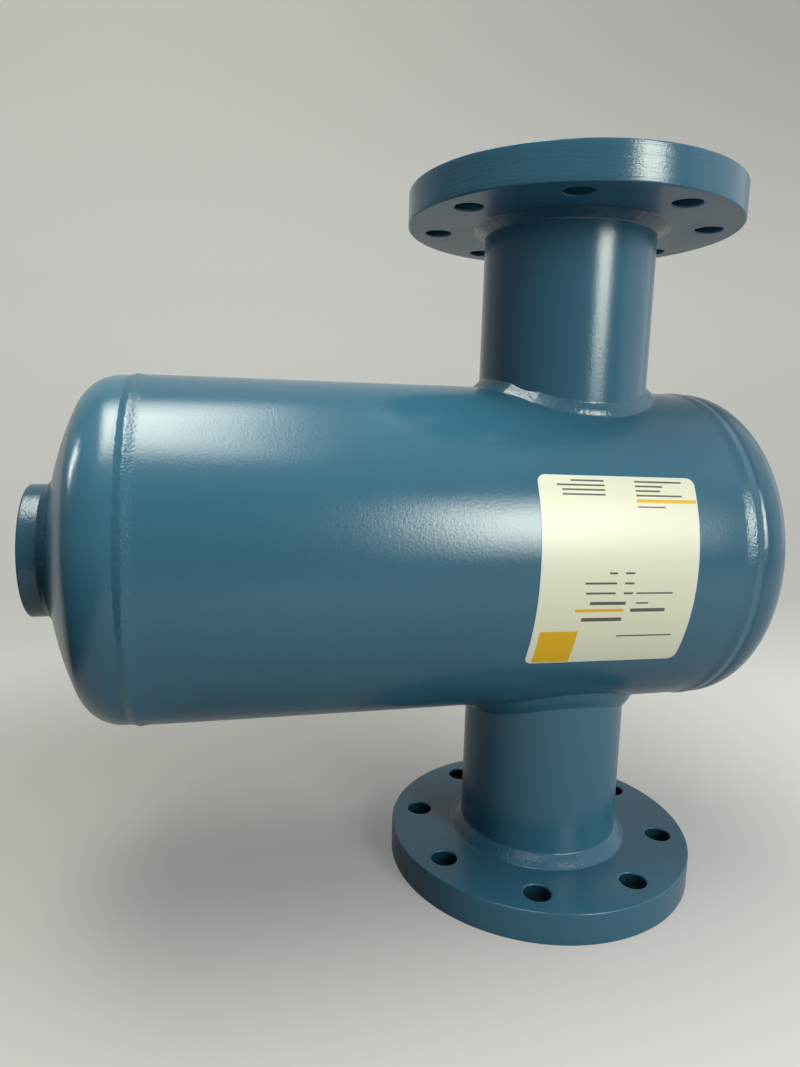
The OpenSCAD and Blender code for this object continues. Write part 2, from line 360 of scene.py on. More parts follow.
def rounded(corners, radii, steps):
    """Closed outline through corners, each cut back by its radius along both sides and joined
    by a quadratic curve. A radius of 0 keeps the corner."""
    corners = np.asarray(corners, float)
    before, after = np.roll(corners, 1, 0), np.roll(corners, -1, 0)
    share = np.linspace(0, 1, steps + 1)[:, None]
    outline = []
    for last, here, following, radius in zip(before, corners, after, radii):
        if radius == 0:
            outline.append(here[None])
            continue
        start = here + radius * (last - here) / np.linalg.norm(last - here)
        end = here + radius * (following - here) / np.linalg.norm(following - here)
        outline.append(curve(start, here, end, share))
    return np.concatenate(outline)


def make_piece(name, patches, materials, node):
    """One closed mesh of patches, which stands for a CAD node. Points that patches share are
    merged, its faces point outwards, and a mesh with an open edge is an error."""
    points, corners, coats, start = [], [], [], 0
    for place, faces, coat in patches:
        points.append(place)
        corners.append(faces + start)
        coats.append(coat)
        start += len(place)
    mesh = bpy.data.meshes.new(name)
    mesh.from_pydata(np.concatenate(points).tolist(), [], np.concatenate(corners).tolist())
    mesh.polygons.foreach_set("material_index", np.concatenate(coats).astype(np.int32))
    work = bmesh.new()
    work.from_mesh(mesh)
    bmesh.ops.remove_doubles(work, verts=work.verts, dist=MERGED)
    bmesh.ops.recalc_face_normals(work, faces=work.faces)
    if any(not edge.is_manifold for edge in work.edges):
        raise RuntimeError(f"{name} isn't closed")
    if work.calc_volume(signed=True) < 0:
        bmesh.ops.reverse_faces(work, faces=work.faces)
    work.to_mesh(mesh)
    work.free()
    for made in materials:
        mesh.materials.append(made)
    mesh.shade_smooth()
    mesh.set_sharp_from_angle(angle=SHARP)
    piece = bpy.data.objects.new(name, mesh)
    bpy.context.scene.collection.objects.link(piece)
    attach(piece, "root")
    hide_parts(node)


# ---------------------------------------------------------------- plates and pipes

SEAM_TURNS = 384


def seam_shape(turn, side):
    """Outline of a girth seam at each turn: its toe on the barrel, its ridge and its toe on
    the head, each as a place along the vessel from the seam, towards the head, and a height
    over the barrel. side is -1 for the drain head, which sits lower than the barrel, and 1
    for the plain one. The places and heights are in millimetres. Each place wanders slowly,
    with a ragged edge on top, and the ridge and the far toe rise and fall together."""
    seed = 40 + side
    slow = [wander(turn, seed + 10 * k) for k in range(4)]
    ragged = [wander(turn, seed + 50 + 10 * k, 40, 150) for k in range(3)]
    if side < 0:
        places, heights = (-4.5, 0.2, 4.3), (0.0, 0.50, -1.02)
    else:
        places, heights = (-5.3, 0.3, 5.0), (0.0, 0.62, -0.36)
    spread = (0.30, 0.42, 0.38)
    along = [(place + 0.22 * slow[k] + spread[k] * ragged[k]) * MM
             for k, place in enumerate(places)]
    up = [(height + 0.07 * slow[3] * (k > 0)) * MM for k, height in enumerate(heights)]
    return along, up


def near_seam(turn, from_seam, side):
    """Height of a head's surface over its true radius, at a distance beyond its seam. It
    starts at the seam's toe and comes up in a bell curve 1.6 mm wide. The drain head is drawn
    in there, which its dish takes up."""
    along, up = seam_shape(turn, side)
    beyond = np.maximum(from_seam - along[2], 0)
    drawn = DRAWN_IN if side < 0 else 0.0
    return (up[2] + drawn) * np.exp(-(beyond / (1.6 * MM)) ** 2) - drawn


def barrel_radius(along):
    """Outer radius of the barrel along its length: it is drawn in by 0.15 mm at the seams,
    in a bell curve that fades over 14 mm."""
    pull = sum(np.exp(-((along - seam) / (14 * MM)) ** 2) for seam in (DRAIN_SEAM, PLAIN_SEAM))
    return BARREL_R - 0.15 * MM * pull


def barrel_skin(radius_at, ends, rows, coat):
    """One face of the barrel's wall, as patches, with the loops of its two nozzle holes and
    those of its two ends. It is a grid of places along the barrel and turns round it. The
    square round each nozzle, a quarter turn wide, is filled with loops between its edge and
    the hole, whose plan is a true circle. rows are the numbers of places towards the ends."""
    half = 72 * MM
    eighth = FULL / 8
    middle = np.linspace(-half, half, 33)
    around = turns(SEAM_TURNS)
    skin = []
    for tip, square_edge, count in zip(ends, (-half, half), rows):
        x = (tip + (square_edge - tip) * np.linspace(0, 1, count) ** 1.6)[:, None]
        skin.append(grid(about_vessel(radius_at(x), x, around), close_columns=True, coat=coat))
    for first in (eighth, FULL / 2 + eighth):
        side = np.linspace(first, first + FULL / 4, SEAM_TURNS // 4 + 1)
        x = middle[:, None]
        skin.append(grid(about_vessel(radius_at(x), x, side), coat=coat))
    up = np.linspace(-eighth, eighth, SEAM_TURNS // 4 + 1)
    square = np.concatenate([
        np.stack([np.full(len(up) - 1, half), up[:-1]], -1),
        np.stack([middle[:0:-1], np.full(len(middle) - 1, eighth)], -1),
        np.stack([np.full(len(up) - 1, -half), up[:0:-1]], -1),
        np.stack([middle[:-1], np.full(len(middle) - 1, -eighth)], -1)])
    radius = radius_at(0.0)
    way = np.arctan2(radius * square[:, 1], square[:, 0])
    circle = np.stack([PIPE_BORE * np.cos(way), np.arcsin(PIPE_BORE * np.sin(way) / radius)], -1)
    loops = []
    for bottom in (False, True):
        spread = rings(circle, square, 12, 1.2)
        along, turn = spread[..., 0], spread[..., 1]
        turn = FULL / 2 - turn if bottom else turn
        points = about_vessel(radius_at(along), along, turn)
        skin.append(grid(points, close_columns=True, coat=coat))
        loops.append(points[0])
    edges = [about_vessel(radius_at(tip), tip, around) for tip in ends]
    return skin, loops, edges


def barrel():
    """The barrel's wall: outer and inner skins, joined round the nozzle holes and along the
    bevelled ends."""
    skin, loops, edges = barrel_skin(
        barrel_radius, (DRAIN_SEAM + GROOVE, PLAIN_SEAM - GROOVE), (17, 7), 0)
    lining, inner_loops, inner_edges = barrel_skin(
        lambda along: BARREL_BORE, (DRAIN_SEAM + ROOT, PLAIN_SEAM - ROOT), (4, 3), 1)
    patches = skin + lining
    for outer, inner in zip(loops + edges, inner_loops + inner_edges):
        patches.append(grid(np.stack([outer, inner]), close_columns=True, coat=1))
    make_piece("barrel_plate", patches, [enamel("Vessel Enamel", (1500, 50, 50)), mill_steel()],
               "barrel")


def dish(inset, least_radius, knuckle_steps, crown_steps):
    """The end of a dished head's straight skirt, and the outline beyond it as places from the
    seam and radii. The outward direction turns from square to the axis to along it: a knuckle
    arc as far as its tangent with the crown, then the crown arc down to the least radius."""
    crown = 2 * BARREL_R * shape().crown
    knuckle = 2 * BARREL_R * shape().knuckle
    rise = crown - math.sqrt((crown - knuckle) ** 2 - (BARREL_R - knuckle) ** 2)
    skirt = HEAD_RISE - rise
    crown_centre = HEAD_RISE - crown
    tangent = math.acos((BARREL_R - knuckle) / (crown - knuckle))
    last = math.acos(least_radius / (crown - inset))
    bend = np.linspace(0, tangent, knuckle_steps + 1)[1:]
    cap = np.linspace(tangent, last, crown_steps + 1)[1:]
    along = [skirt + (knuckle - inset) * np.sin(bend), crown_centre + (crown - inset) * np.sin(cap)]
    radius = [BARREL_R - knuckle + (knuckle - inset) * np.cos(bend), (crown - inset) * np.cos(cap)]
    return skirt, np.concatenate(along), np.concatenate(radius)


def crown_place(radius):
    """Place along X of the drain head's outer crown at a distance from the vessel's axis."""
    crown = 2 * BARREL_R * shape().crown
    return DRAIN_SEAM - (HEAD_RISE - crown) - np.sqrt(crown ** 2 - radius ** 2)


def head(name, seam, side, hole, node):
    """A dished head's wall, carried round the vessel's axis: its outline runs out along the
    inside of its crown, knuckle and skirt, and back along the outside, which follows the
    valley beside the seam. The drain head is drawn in by up to DRAWN_IN, as the fourth power
    of the radius's share of the barrel's. A head is closed across the edge of its hole, and
    in points without one."""
    turn = turns(SEAM_TURNS)
    skirt, along, radius = dish(0, hole, 18, 30)
    _, inner_along, inner_radius = dish(WALL, hole, 8, 12)
    straight = np.linspace(GROOVE, skirt, 14)
    outer = np.stack([np.append(straight, along),
                      np.append(np.full(len(straight), BARREL_R), radius)], -1)
    inner = np.stack([np.append(inner_along[::-1], [skirt, ROOT]),
                      np.append(inner_radius[::-1], [BARREL_BORE] * 2)], -1)
    outline = np.concatenate([inner, outer])
    drawn = DRAWN_IN if side < 0 else 0.0
    lift = np.repeat(-drawn * (outline[:, 1:] / BARREL_R) ** 4, len(turn), axis=1)
    beside = np.append(np.zeros(len(inner), bool), outer[:, 0] < skirt)
    lift[beside] = near_seam(turn, outline[beside, 0][:, None], side)
    points = about_vessel(outline[:, 1:] + lift, seam + side * outline[:, :1], turn)
    coat = np.where(np.arange(len(outline) - (hole == 0)) < len(inner), 1, 0)
    # The heads' enamel is darkened by a shade of 0.86, which is painted shade.
    make_piece(name, [grid(points, hole > 0, True, coat)],
               [enamel("Head Enamel", shade=0.86), mill_steel()], node)


def nozzle(name, lower, node):
    """A nozzle's pipe. Its end inside is coped: at each turn it stands on the barrel, at the
    height whose square is the barrel's radius squared less the place in y squared."""
    turn = turns(320)
    share = np.linspace(0, 1, 13)[:, None]
    walls = []
    for radius in (PIPE_R, PIPE_BORE):
        foot = AXIS_Z + np.sqrt(BARREL_R ** 2 - (radius * np.sin(turn)) ** 2)
        walls.append(about_run(radius, foot + share * (PIPE_END - foot), turn))
    points = np.concatenate([walls[0], walls[1][::-1]])
    coat = np.where(np.arange(len(points)) < len(share) - 1, 0, 1)
    make_piece(name, [grid(other_way_up(points) if lower else points, True, True, coat)],
               [enamel("Nozzle Enamel", (50, 50, 1500)), mill_steel()], node)


def flange(name, lower, node):
    """A plate flange. Each sector holds one bolt hole in its middle, and its faces are loops between the
    hole and the sector's edge. The rim, the bore and the holes have rounded edges, whose outlines are
    carried round their axes. Inside a hole the coat is darker, which is painted shade."""
    edge, bore_edge = shape().edge, 0.4 * MM
    half = FULL / BOLT_COUNT / 2
    rim_steps, bore_steps, side_steps = 40, 24, 18
    outer, inner = FLANGE_R - edge, FLANGE_BORE + bore_edge
    rim = np.linspace(-half, half, rim_steps + 1)
    bore = np.linspace(half, -half, bore_steps + 1)
    side = np.linspace(outer, inner, side_steps + 1)
    radius = np.concatenate([np.full(rim_steps, outer), side[:-1],
                             np.full(bore_steps, inner), side[:0:-1]])
    angle = np.concatenate([rim[:-1], np.full(side_steps, half),
                            bore[:-1], np.full(side_steps, -half)])
    sector = np.stack([radius * np.cos(angle), radius * np.sin(angle)], -1)
    way = np.arctan2(sector[:, 1], sector[:, 0] - BOLT_CIRCLE)
    spoke = np.stack([np.cos(way), np.sin(way)], -1)
    middle = np.array([BOLT_CIRCLE, 0])
    spread = rings(middle + (BOLT_HOLE + edge) * spoke, sector, 9, 1.4)

    quarter = np.linspace(0, FULL / 4, 6)
    straight = np.linspace(RUN_TOP - edge, FLANGE_UNDER + edge, 7)[1:-1]

    def edge_outline(size):
        """Cut-back and height of an outline down a rounded edge, a wall and another edge."""
        top = np.stack([size * (1 - np.sin(quarter)), RUN_TOP - size * (1 - np.cos(quarter))], -1)
        bottom = top[::-1] * (1, -1) + (0, RUN_TOP + FLANGE_UNDER)
        walls = np.stack([0 * straight, straight], -1)
        return np.concatenate([top, walls, bottom])

    patches = []
    for i in range(BOLT_COUNT):
        turned = (2 * i + 1) * half
        cosine, sine = math.cos(turned), math.sin(turned)
        matrix = np.array([[cosine, sine], [-sine, cosine]])
        flat = spread @ matrix
        for height in (RUN_TOP, FLANGE_UNDER):
            face = np.dstack([flat, np.full(flat.shape[:2], height)])
            patches.append(grid(face, close_columns=True))
        down = edge_outline(edge)
        wall = (middle + (BOLT_HOLE + down[:, :1, None]) * spoke) @ matrix
        wall = np.dstack([wall, np.broadcast_to(down[:, 1:], wall.shape[:2])])
        rows = [0, len(quarter) - 1, len(down) - len(quarter), len(down) - 1]
        for first, last, coat in zip(rows, rows[1:], (0, 2, 0)):
            patches.append(grid(wall[first:last + 1], close_columns=True, coat=coat))
    for radius, size, sign, steps, coat in ((FLANGE_R, edge, -1, rim_steps, 0),
                                            (FLANGE_BORE, bore_edge, 1, bore_steps, 1)):
        down = edge_outline(size)
        points = about_run(radius + sign * down[:, :1], down[:, 1:], turns(steps * BOLT_COUNT))
        patches.append(grid(points, close_columns=True, coat=coat))
    if lower:
        patches = [(other_way_up(points), faces, coat) for points, faces, coat in patches]
    # Hole Enamel is darkened by a shade of 0.3, which is painted shade inside the bolt holes.
    make_piece(name, patches, [flange_enamel(), mill_steel(), enamel("Hole Enamel", shade=0.3)], node)


def drain_socket():
    """The drain's threaded socket. Its outline runs along the outside to the mouth, round its
    edge and back down the bore. The bore's radius is the greater of the lead chamfer and the
    thread, whose depth follows a cosine of the place along the bore, in pitches, less the
    turn."""
    pitch, depth = shape().thread_pitch, shape().thread_depth
    turn = turns(176)
    edge = 1 * MM
    inside = np.linspace(SOCKET_MOUTH, SOCKET_END, 150)[:, None]
    phase = (inside - SOCKET_MOUTH) / pitch - turn / FULL
    groove = 0.5 - 0.5 * np.cos(FULL * phase)
    thread = SOCKET_BORE + depth * groove ** 0.8
    lead = SOCKET_BORE + depth + 0.1 * MM - (inside - SOCKET_MOUTH)
    bore = np.maximum(thread, lead)
    outer = np.array([[SOCKET_END, SOCKET_R], [SOCKET_MOUTH + 2 * edge, SOCKET_R]])
    around = np.linspace(0, FULL / 4, 6)
    corner = np.stack([SOCKET_MOUTH + edge * (1 - np.sin(around)),
                       SOCKET_R - edge * (1 - np.cos(around))], -1)
    outline = np.concatenate([outer, corner])
    shell = about_vessel(outline[:, 1:], outline[:, :1], turn)
    points = np.concatenate([shell, about_vessel(bore, inside, turn)])
    coat = np.where(np.arange(len(points)) < len(outline), 0, 1)
    # Drain Enamel is darkened by a shade of 0.68, which is painted shade on the socket.
    make_piece("drain_boss", [grid(points, True, True, coat)],
               [enamel("Drain Enamel", (50, 50, 50), 0.68, 2.2), machined_steel()], "drain_socket")


# ---------------------------------------------------------------- welds

def ripple(turn, across, length, seed):
    """Height of a weld's ripples. Along the weld they are rounded steps at about the ripple
    pitch, whose spacing and height wander, with a finer set over them. Across it, from -1 to
    1, each one bows back by the square of the place and fades out at the toes."""
    count = round(length / shape().ripple_pitch)
    height = np.zeros(np.broadcast(turn, across).shape)
    for set_number, (share, weight) in enumerate(((1.0, 1.0), (1.63, 0.45))):
        drift = wander(turn, seed + 3 * set_number, 2, 24) + 0.28 * wander(turn, seed + 7, 40, 160)
        phase = round(share * count) * turn / FULL + 0.9 * across ** 2 + 0.25 * across + drift
        crest = np.abs(np.cos(math.pi * phase)) ** 0.7 - 0.55
        strength = 0.65 + 0.55 * wander(turn, seed + 1 + 3 * set_number, 20, 110)
        height += weight * strength * crest
    return shape().ripple_height * height * (1 - across ** 4)


def fillet(name, place, length, profile, seed, node, shaded=False, ground=None):
    """A fillet weld as a closed section carried round its corner. In the corner's own plane q
    runs out along the plate and p along the pipe. The face runs between its toes through a
    middle that stands out by the bulge, and the toes run out onto both in tight curves, with
    the back just inside them. place gives the point for q, p and the turn, and length is the
    weld's own, which sets its count of ripples. profile gives its lengths along the plate and
    the pipe and the bulge at each turn, and both toes wander and are ragged. Where ground
    gives a plane, as a point and a normal, what stands out beyond it is pressed back on to it.
    A shaded one shows the darker enamel, which is painted shade."""
    steps = max(6 * round(length / shape().ripple_pitch), 400)
    turn = turns(steps)
    *legs, bulge = profile(turn)
    plate_leg, pipe_leg = [
        leg * (1 + 0.05 * wander(turn, seed + k)) + 0.16 * MM * wander(turn, seed + 20 + k, 30, 130)
        for k, leg in enumerate(legs)]
    sink, tail, back = 0.03 * MM, 1.6 * MM, 0.4 * MM
    chord = pairs(-plate_leg, pipe_leg, turn)
    outward = chord[:, ::-1] * (1, -1) / np.linalg.norm(chord, axis=-1, keepdims=True)
    middle = pairs(plate_leg, 0, turn) + chord / 2 + np.reshape(bulge, (-1, 1)) * outward
    front = soft_path([pairs(plate_leg + tail, -sink, turn), pairs(plate_leg, 0, turn), middle,
                       pairs(0, pipe_leg, turn), pairs(-sink, pipe_leg + tail, turn)],
                      [0, 0.9 * MM, 1.2 * MM, 0.7 * MM, 0], [1, 4, 4, 1])
    across = np.linspace(-1.25, 1.25, len(front))[:, None]
    inside = np.clip(across, -1, 1)
    front = front + ripple(turn, inside, length, seed + 2)[..., None] * outward
    section = np.concatenate([front, pairs(-back, -back, turn)[None]])
    points = place(section[..., 0], section[..., 1], turn)
    if ground:
        spot, normal = ground
        points = points - np.maximum((points - spot) @ normal, 0)[..., None] * normal
    make_piece(name, [grid(points, True, True)], [weld_enamel(shaded)], node)


def saddle_weld(name, lower, seed, node):
    """Fillet where a nozzle sits on the barrel: q is measured out from the pipe in plan, and
    p up from the barrel, whose height there is the root of its radius squared less the place
    in y squared. The lower bead is even. The upper one is narrow and round at the front, and
    steep further left, in bell curves of the turn, where it is also ground flat."""
    leg = reach(node, Z_AXIS)[1] - PIPE_R
    flat_turn = math.radians(-138)

    def place(q, p, turn):
        foot = AXIS_Z + np.sqrt(BARREL_R ** 2 - ((PIPE_R + q) * np.sin(turn)) ** 2)
        points = about_run(PIPE_R + q, foot + p, turn)
        return other_way_up(points) if lower else points

    def profile(turn):
        if lower:
            return 0.68 * leg, leg, 0.45 * MM
        front = bell(turn, math.radians(-94), 0.42)
        left = bell(turn, flat_turn, 0.26)
        return (leg * (0.96 - 0.42 * front - 0.34 * left),
                leg * (0.88 + 0.06 * front + 0.04 * left),
                (-0.1 + 1.15 * front + 0.2 * left) * MM)

    normal = np.array([-0.514, -0.658, 0.550])
    ground_off = 0.6 * MM
    spot = place(0.31 * leg, 0.46 * leg, flat_turn) - ground_off * normal
    fillet(name, place, FULL * PIPE_R * 1.05, profile, seed, node,
           ground=None if lower else (spot, normal))


def hub_weld(name, lower, seed, node):
    """Fillet behind a flange: q runs out under the flange and p down the pipe, less far at the
    upper one."""
    leg = reach(node, Z_AXIS)[1] - PIPE_R

    def place(q, p, turn):
        points = about_run(PIPE_R + q, FLANGE_UNDER - p, turn)
        return other_way_up(points) if lower else points

    down, bulge = (leg, 0.3 * MM) if lower else (0.68 * leg, -0.1 * MM)
    # The upper bead takes the darkened weld enamel, which is painted shade.
    fillet(name, place, FULL * PIPE_R, lambda turn: (leg, down, bulge), seed, node,
           shaded=not lower)


def socket_weld():
    """Fillet round the drain socket: q is measured out from the socket and p away from the
    crown, along the vessel."""
    leg = reach("drain_socket_weld", X_AXIS, AXIS_Z)[1] - SOCKET_R

    def place(q, p, turn):
        return about_vessel(SOCKET_R + q, crown_place(SOCKET_R + q) - p, turn)

    # This bead takes the darkened weld enamel, which is painted shade.
    fillet("drain_boss_weld", place, FULL * SOCKET_R,
           lambda turn: (0.82 * leg, 0.78 * leg, 0.6 * MM), 91, "drain_socket_weld", shaded=True)


def face_weld(name, lower, seed, node):
    """Weld inside a flange's bore, over the end of its pipe: a rising face from the pipe's
    bore up to the flange's, with ripples, above a flat foot."""
    length = FULL * PIPE_R
    turn = turns(6 * round(length / shape().ripple_pitch))
    low, high = span(node, Z_AXIS)
    rise = (RUN_TOP - low if lower else high) - PIPE_END
    across = np.linspace(-1, 1, 9)[:, None]
    share = (across + 1) / 2
    lift = rise * share ** 1.3 + 0.35 * MM * (1 - across ** 2) * (1 + 0.4 * wander(turn, seed))
    lift = lift + ripple(turn, across, length, seed + 1)
    sunk = 0.1 * MM
    outer = FLANGE_BORE + sunk
    face = about_run(PIPE_BORE + (outer - PIPE_BORE) * share, PIPE_END + lift, turn)
    foot = about_run(np.array([[outer], [PIPE_BORE]]), PIPE_END - sunk, turn)
    points = np.concatenate([face, foot])
    make_piece(name, [grid(other_way_up(points) if lower else points, True, True)],
               [mill_steel()], node)


def girth_seam(name, seam, side, seed, node):
    """Butt weld between the barrel and a head. Its outer face goes up from the barrel to the
    ridge and down to the head, in straight slopes with rounded corners, and runs out onto
    both. It has ripples, and its root fills the bevelled groove."""
    length = FULL * BARREL_R
    turn = turns(6 * round(length / shape().ripple_pitch))
    along, up = seam_shape(turn, side)
    over = along[2] + 1.2 * MM
    corners = [pairs(x, y, turn)
               for x, y in ((along[0] - 1.5 * MM, -0.12 * MM), (along[0], up[0] - 0.06 * MM),
                            (along[1], up[1]), (along[2], up[2]),
                            (over, near_seam(turn, over, side) - 0.03 * MM))]
    front = soft_path(corners, [0, 0.9 * MM, 0.8 * MM, 0.5 * MM, 0], [1, 4, 3, 1])
    across = np.linspace(-1.2, 1.2, len(front))[:, None]
    front[..., 1] += ripple(turn, np.clip(across, -1, 1), length, seed)
    deep = -1.5 * MM
    root = np.array([[GROOVE, deep], [ROOT, -WALL], [-ROOT, -WALL], [-GROOVE, deep]])
    section = np.concatenate([front, np.repeat(root[:, None, :], len(turn), axis=1)])
    points = about_vessel(BARREL_R + section[..., 1], seam + side * section[..., 0], turn)
    make_piece(name, [grid(points, True, True)], [weld_enamel()], node)


# ---------------------------------------------------------------- label and insert

def label():
    """The label, a film with rounded corners wrapped round the barrel's front. Across its
    height the half length is cut by the corner radius less the root of its square less the
    square of the place in the corner."""
    low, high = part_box("label")
    top = reach("label", X_AXIS, AXIS_Z)[1]
    wrap = math.asin((high.z - low.z) / 2 / top)
    corner = LABEL_CORNER
    half_height, half_length = wrap * top, (high.x - low.x) / 2
    straight = half_height - corner
    bend = straight + corner * np.sin(np.linspace(0, FULL / 4, 13))
    height = np.concatenate([-bend[::-1], np.linspace(-bend[0], bend[0], 41)[1:-1], bend])
    beyond = np.maximum(np.abs(height) - straight, 0)
    inset = corner - np.sqrt(np.maximum(corner ** 2 - beyond ** 2, 0))
    along = np.linspace(-1, 1, 51) * (half_length - inset)[:, None]
    tip = shape().label_turn
    height, along = (height[:, None] * math.cos(tip) - along * math.sin(tip),
                     height[:, None] * math.sin(tip) + along * math.cos(tip))
    along = (low.x + high.x) / 2 + along
    turn = FULL / 4 - height / top
    outer = about_vessel(top, along, turn)
    inner = about_vessel(BARREL_R - 0.02 * MM, along, turn)

    def border(sheet):
        """Loop of points along the edge of a grid."""
        return np.concatenate([sheet[0, :-1], sheet[:-1, -1], sheet[-1, :0:-1], sheet[:0:-1, 0]])

    patches = [grid(outer), grid(inner),
               grid(np.stack([border(outer), border(inner)]), close_columns=True)]
    make_piece("label_film", patches, [label_film()], "label")


def element_bar(index):
    """The bar in the middle of an element, with chamfered ends, as an outline carried round
    its axis and closed in a point at both ends."""
    node = f"element_bar_{index}"
    low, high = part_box(node)
    radius, cut = (high.y - low.y) / 2, 1 * MM
    outline = np.array([[low.x, 0], [low.x, radius - cut], [low.x + cut, radius],
                        [high.x - cut, radius], [high.x, radius - cut], [high.x, 0]])
    turn = turns(48)
    points = np.stack(np.broadcast_arrays(
        outline[:, :1], (low.y + high.y) / 2 + outline[:, 1:] * np.sin(turn),
        (low.z + high.z) / 2 - outline[:, 1:] * np.cos(turn)), -1)
    make_piece(f"insert_bar_{index}", [grid(points, close_columns=True)], [insert_steel()],
               node)


def element_strip(index):
    """A strip wound on edge round its bar: a thin section with rounded edges carried along a
    helix, with x rising by the pitch in each turn."""
    node = f"element_strip_{index}"
    low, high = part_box(node)
    bar_low, bar_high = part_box(f"element_bar_{index}")
    bar_r = (bar_high.y - bar_low.y) / 2
    middle = (bar_low + bar_high) / 2
    outer_r = (high.y - low.y) / 2
    half_t = 0.75 * MM
    length, pitch = high.x - low.x - 2 * half_t, shape().strip_pitch
    turn = np.linspace(0, FULL * length / pitch, round(90 * length / pitch))
    edge = shape().strip_edge
    section = rounded([[bar_r, -half_t], [outer_r, -half_t], [outer_r, half_t], [bar_r, half_t]],
                      [0, edge, edge, 0], 3)
    radius, lift = section[:, :1], section[:, 1:]
    along = low.x + half_t + turn * pitch / FULL + lift
    wound = np.stack([along, middle.y + radius * np.sin(turn), middle.z - radius * np.cos(turn)], -1)
    wound = wound.transpose(1, 0, 2)
    patches = [grid(wound, close_columns=True)]
    for end in (wound[0], wound[-1]):
        centre = np.broadcast_to(end.mean(0), end.shape)
        patches.append(grid(np.stack([end, centre]), close_columns=True))
    make_piece(f"insert_strip_{index}", patches, [insert_steel()], node)


# ---------------------------------------------------------------- shader nodes

def connect(tree, sockets, values):
    """Gives each socket that is named a plain value, or links another node's output to it."""
    for key, value in values.items():
        if isinstance(value, bpy.types.NodeSocket):
            tree.links.new(value, sockets[key])
        else:
            sockets[key].default_value = value


def add(tree, kind, inputs=None, **settings):
    """A shader node with its settings and its inputs."""
    made = tree.nodes.new("ShaderNode" + kind)
    for name, value in settings.items():
        setattr(made, name, value)
    connect(tree, made.inputs, inputs or {})
    return made


def calc(tree, operation, *values, clamp=False):
    """Output of a Math node."""
    return add(tree, "Math", dict(enumerate(values)), operation=operation,
               use_clamp=clamp).outputs[0]


def chain(tree, operation, values):
    """Output of Math nodes in a row, which take in one more of the values each."""
    total = values[0]
    for value in values[1:]:
        total = calc(tree, operation, total, value)
    return total


def plus(tree, *values):
    """Output of the sum of the values."""
    return chain(tree, "ADD", values)


def minus(tree, first, second):
    """Output of the first less the second."""
    return calc(tree, "SUBTRACT", first, second)


def times(tree, *values):
    """Output of the product of the values."""
    return chain(tree, "MULTIPLY", values)


def less(tree, first, second):
    """Output that is 1 where the first is less than the second, and else 0."""
    return calc(tree, "LESS_THAN", first, second)


def blend(tree, share, first, second):
    """Output of a Mix node for colours."""
    return add(tree, "Mix", {0: share, 6: first, 7: second}, data_type="RGBA").outputs[2]


def step(tree, value, low, high):
    """Output that goes smoothly from 0 to 1 as value goes from low to high."""
    return add(tree, "MapRange", {"Value": value, "From Min": low, "From Max": high},
               interpolation_type="SMOOTHSTEP").outputs[0]


def noise(tree, place, scale, detail=2.0, roughness=0.5):
    """Output of a Noise Texture node, about 0.5 in the middle."""
    return add(tree, "TexNoise", {"Vector": place, "Scale": scale, "Detail": detail,
                                  "Roughness": roughness}).outputs[0]


def object_place(tree):
    """Output of the place on the piece."""
    return add(tree, "TexCoord").outputs["Object"]


def split(tree, vector):
    """Outputs of a vector's x, y and z."""
    return add(tree, "SeparateXYZ", {0: vector}).outputs


def stretch(tree, vector, scale):
    """Output of a vector or a colour, each part times the scale's."""
    return add(tree, "VectorMath", {0: vector, 1: scale}, operation="MULTIPLY").outputs[0]


def vector_length(tree, vector):
    """Output of a vector's length."""
    return add(tree, "VectorMath", {0: vector}, operation="LENGTH").outputs["Value"]


def bump(tree, height):
    """Output of the normal for a relief of this height in metres."""
    return add(tree, "Bump", {"Height": height, "Distance": 1.0, "Strength": 1.0}).outputs[0]


def tint(colour, share=1.0):
    """A colour times a share, with the fourth part that a socket takes."""
    return (*[share * part for part in colour], 1)


def spaced(inputs):
    """Inputs under their sockets' names, with a space for each _."""
    return {key.replace("_", " "): value for key, value in inputs.items()}


def group(name, inputs, outputs, build):
    """A shader node group, built once. Its inputs and outputs are named sockets, and build
    gets the tree and its inputs and returns what the outputs get."""
    if name in bpy.data.node_groups:
        return bpy.data.node_groups[name]
    tree = bpy.data.node_groups.new(name, "ShaderNodeTree")
    for title, kind, value in inputs:
        socket = tree.interface.new_socket(title, in_out="INPUT", socket_type="NodeSocket" + kind)
        socket.default_value = value
    for title, kind in outputs:
        tree.interface.new_socket(title, in_out="OUTPUT", socket_type="NodeSocket" + kind)
    entry, leave = tree.nodes.new("NodeGroupInput"), tree.nodes.new("NodeGroupOutput")
    results = build(tree, entry.outputs)
    connect(tree, leave.inputs, {title: value for (title, _), value in zip(outputs, results)})
    return tree


def use(tree, made, **inputs):
    """The outputs of a node group, placed with its inputs given by name."""
    return add(tree, "Group", spaced(inputs), node_tree=made).outputs


def orange_peel():
    """Group: the fine relief of sprayed enamel, with faint lines that run round a piece."""
    def build(tree, given):
        place = object_place(tree)
        lines = noise(tree, stretch(tree, place, given["Line Scale"]), 1.0, 2.0)
        relief = plus(tree, noise(tree, place, 620.0, 2.0),
                      times(tree, noise(tree, place, 1300.0, 1.0), 0.28),
                      times(tree, lines, given["Line Weight"]))
        return [bump(tree, times(tree, relief, given["Height"]))]
    return group("Orange Peel", [("Height", "Float", 0.00005), ("Line Scale", "Vector", (300, 300, 300)),
                                 ("Line Weight", "Float", 0.3)], [("Normal", "Vector")], build)


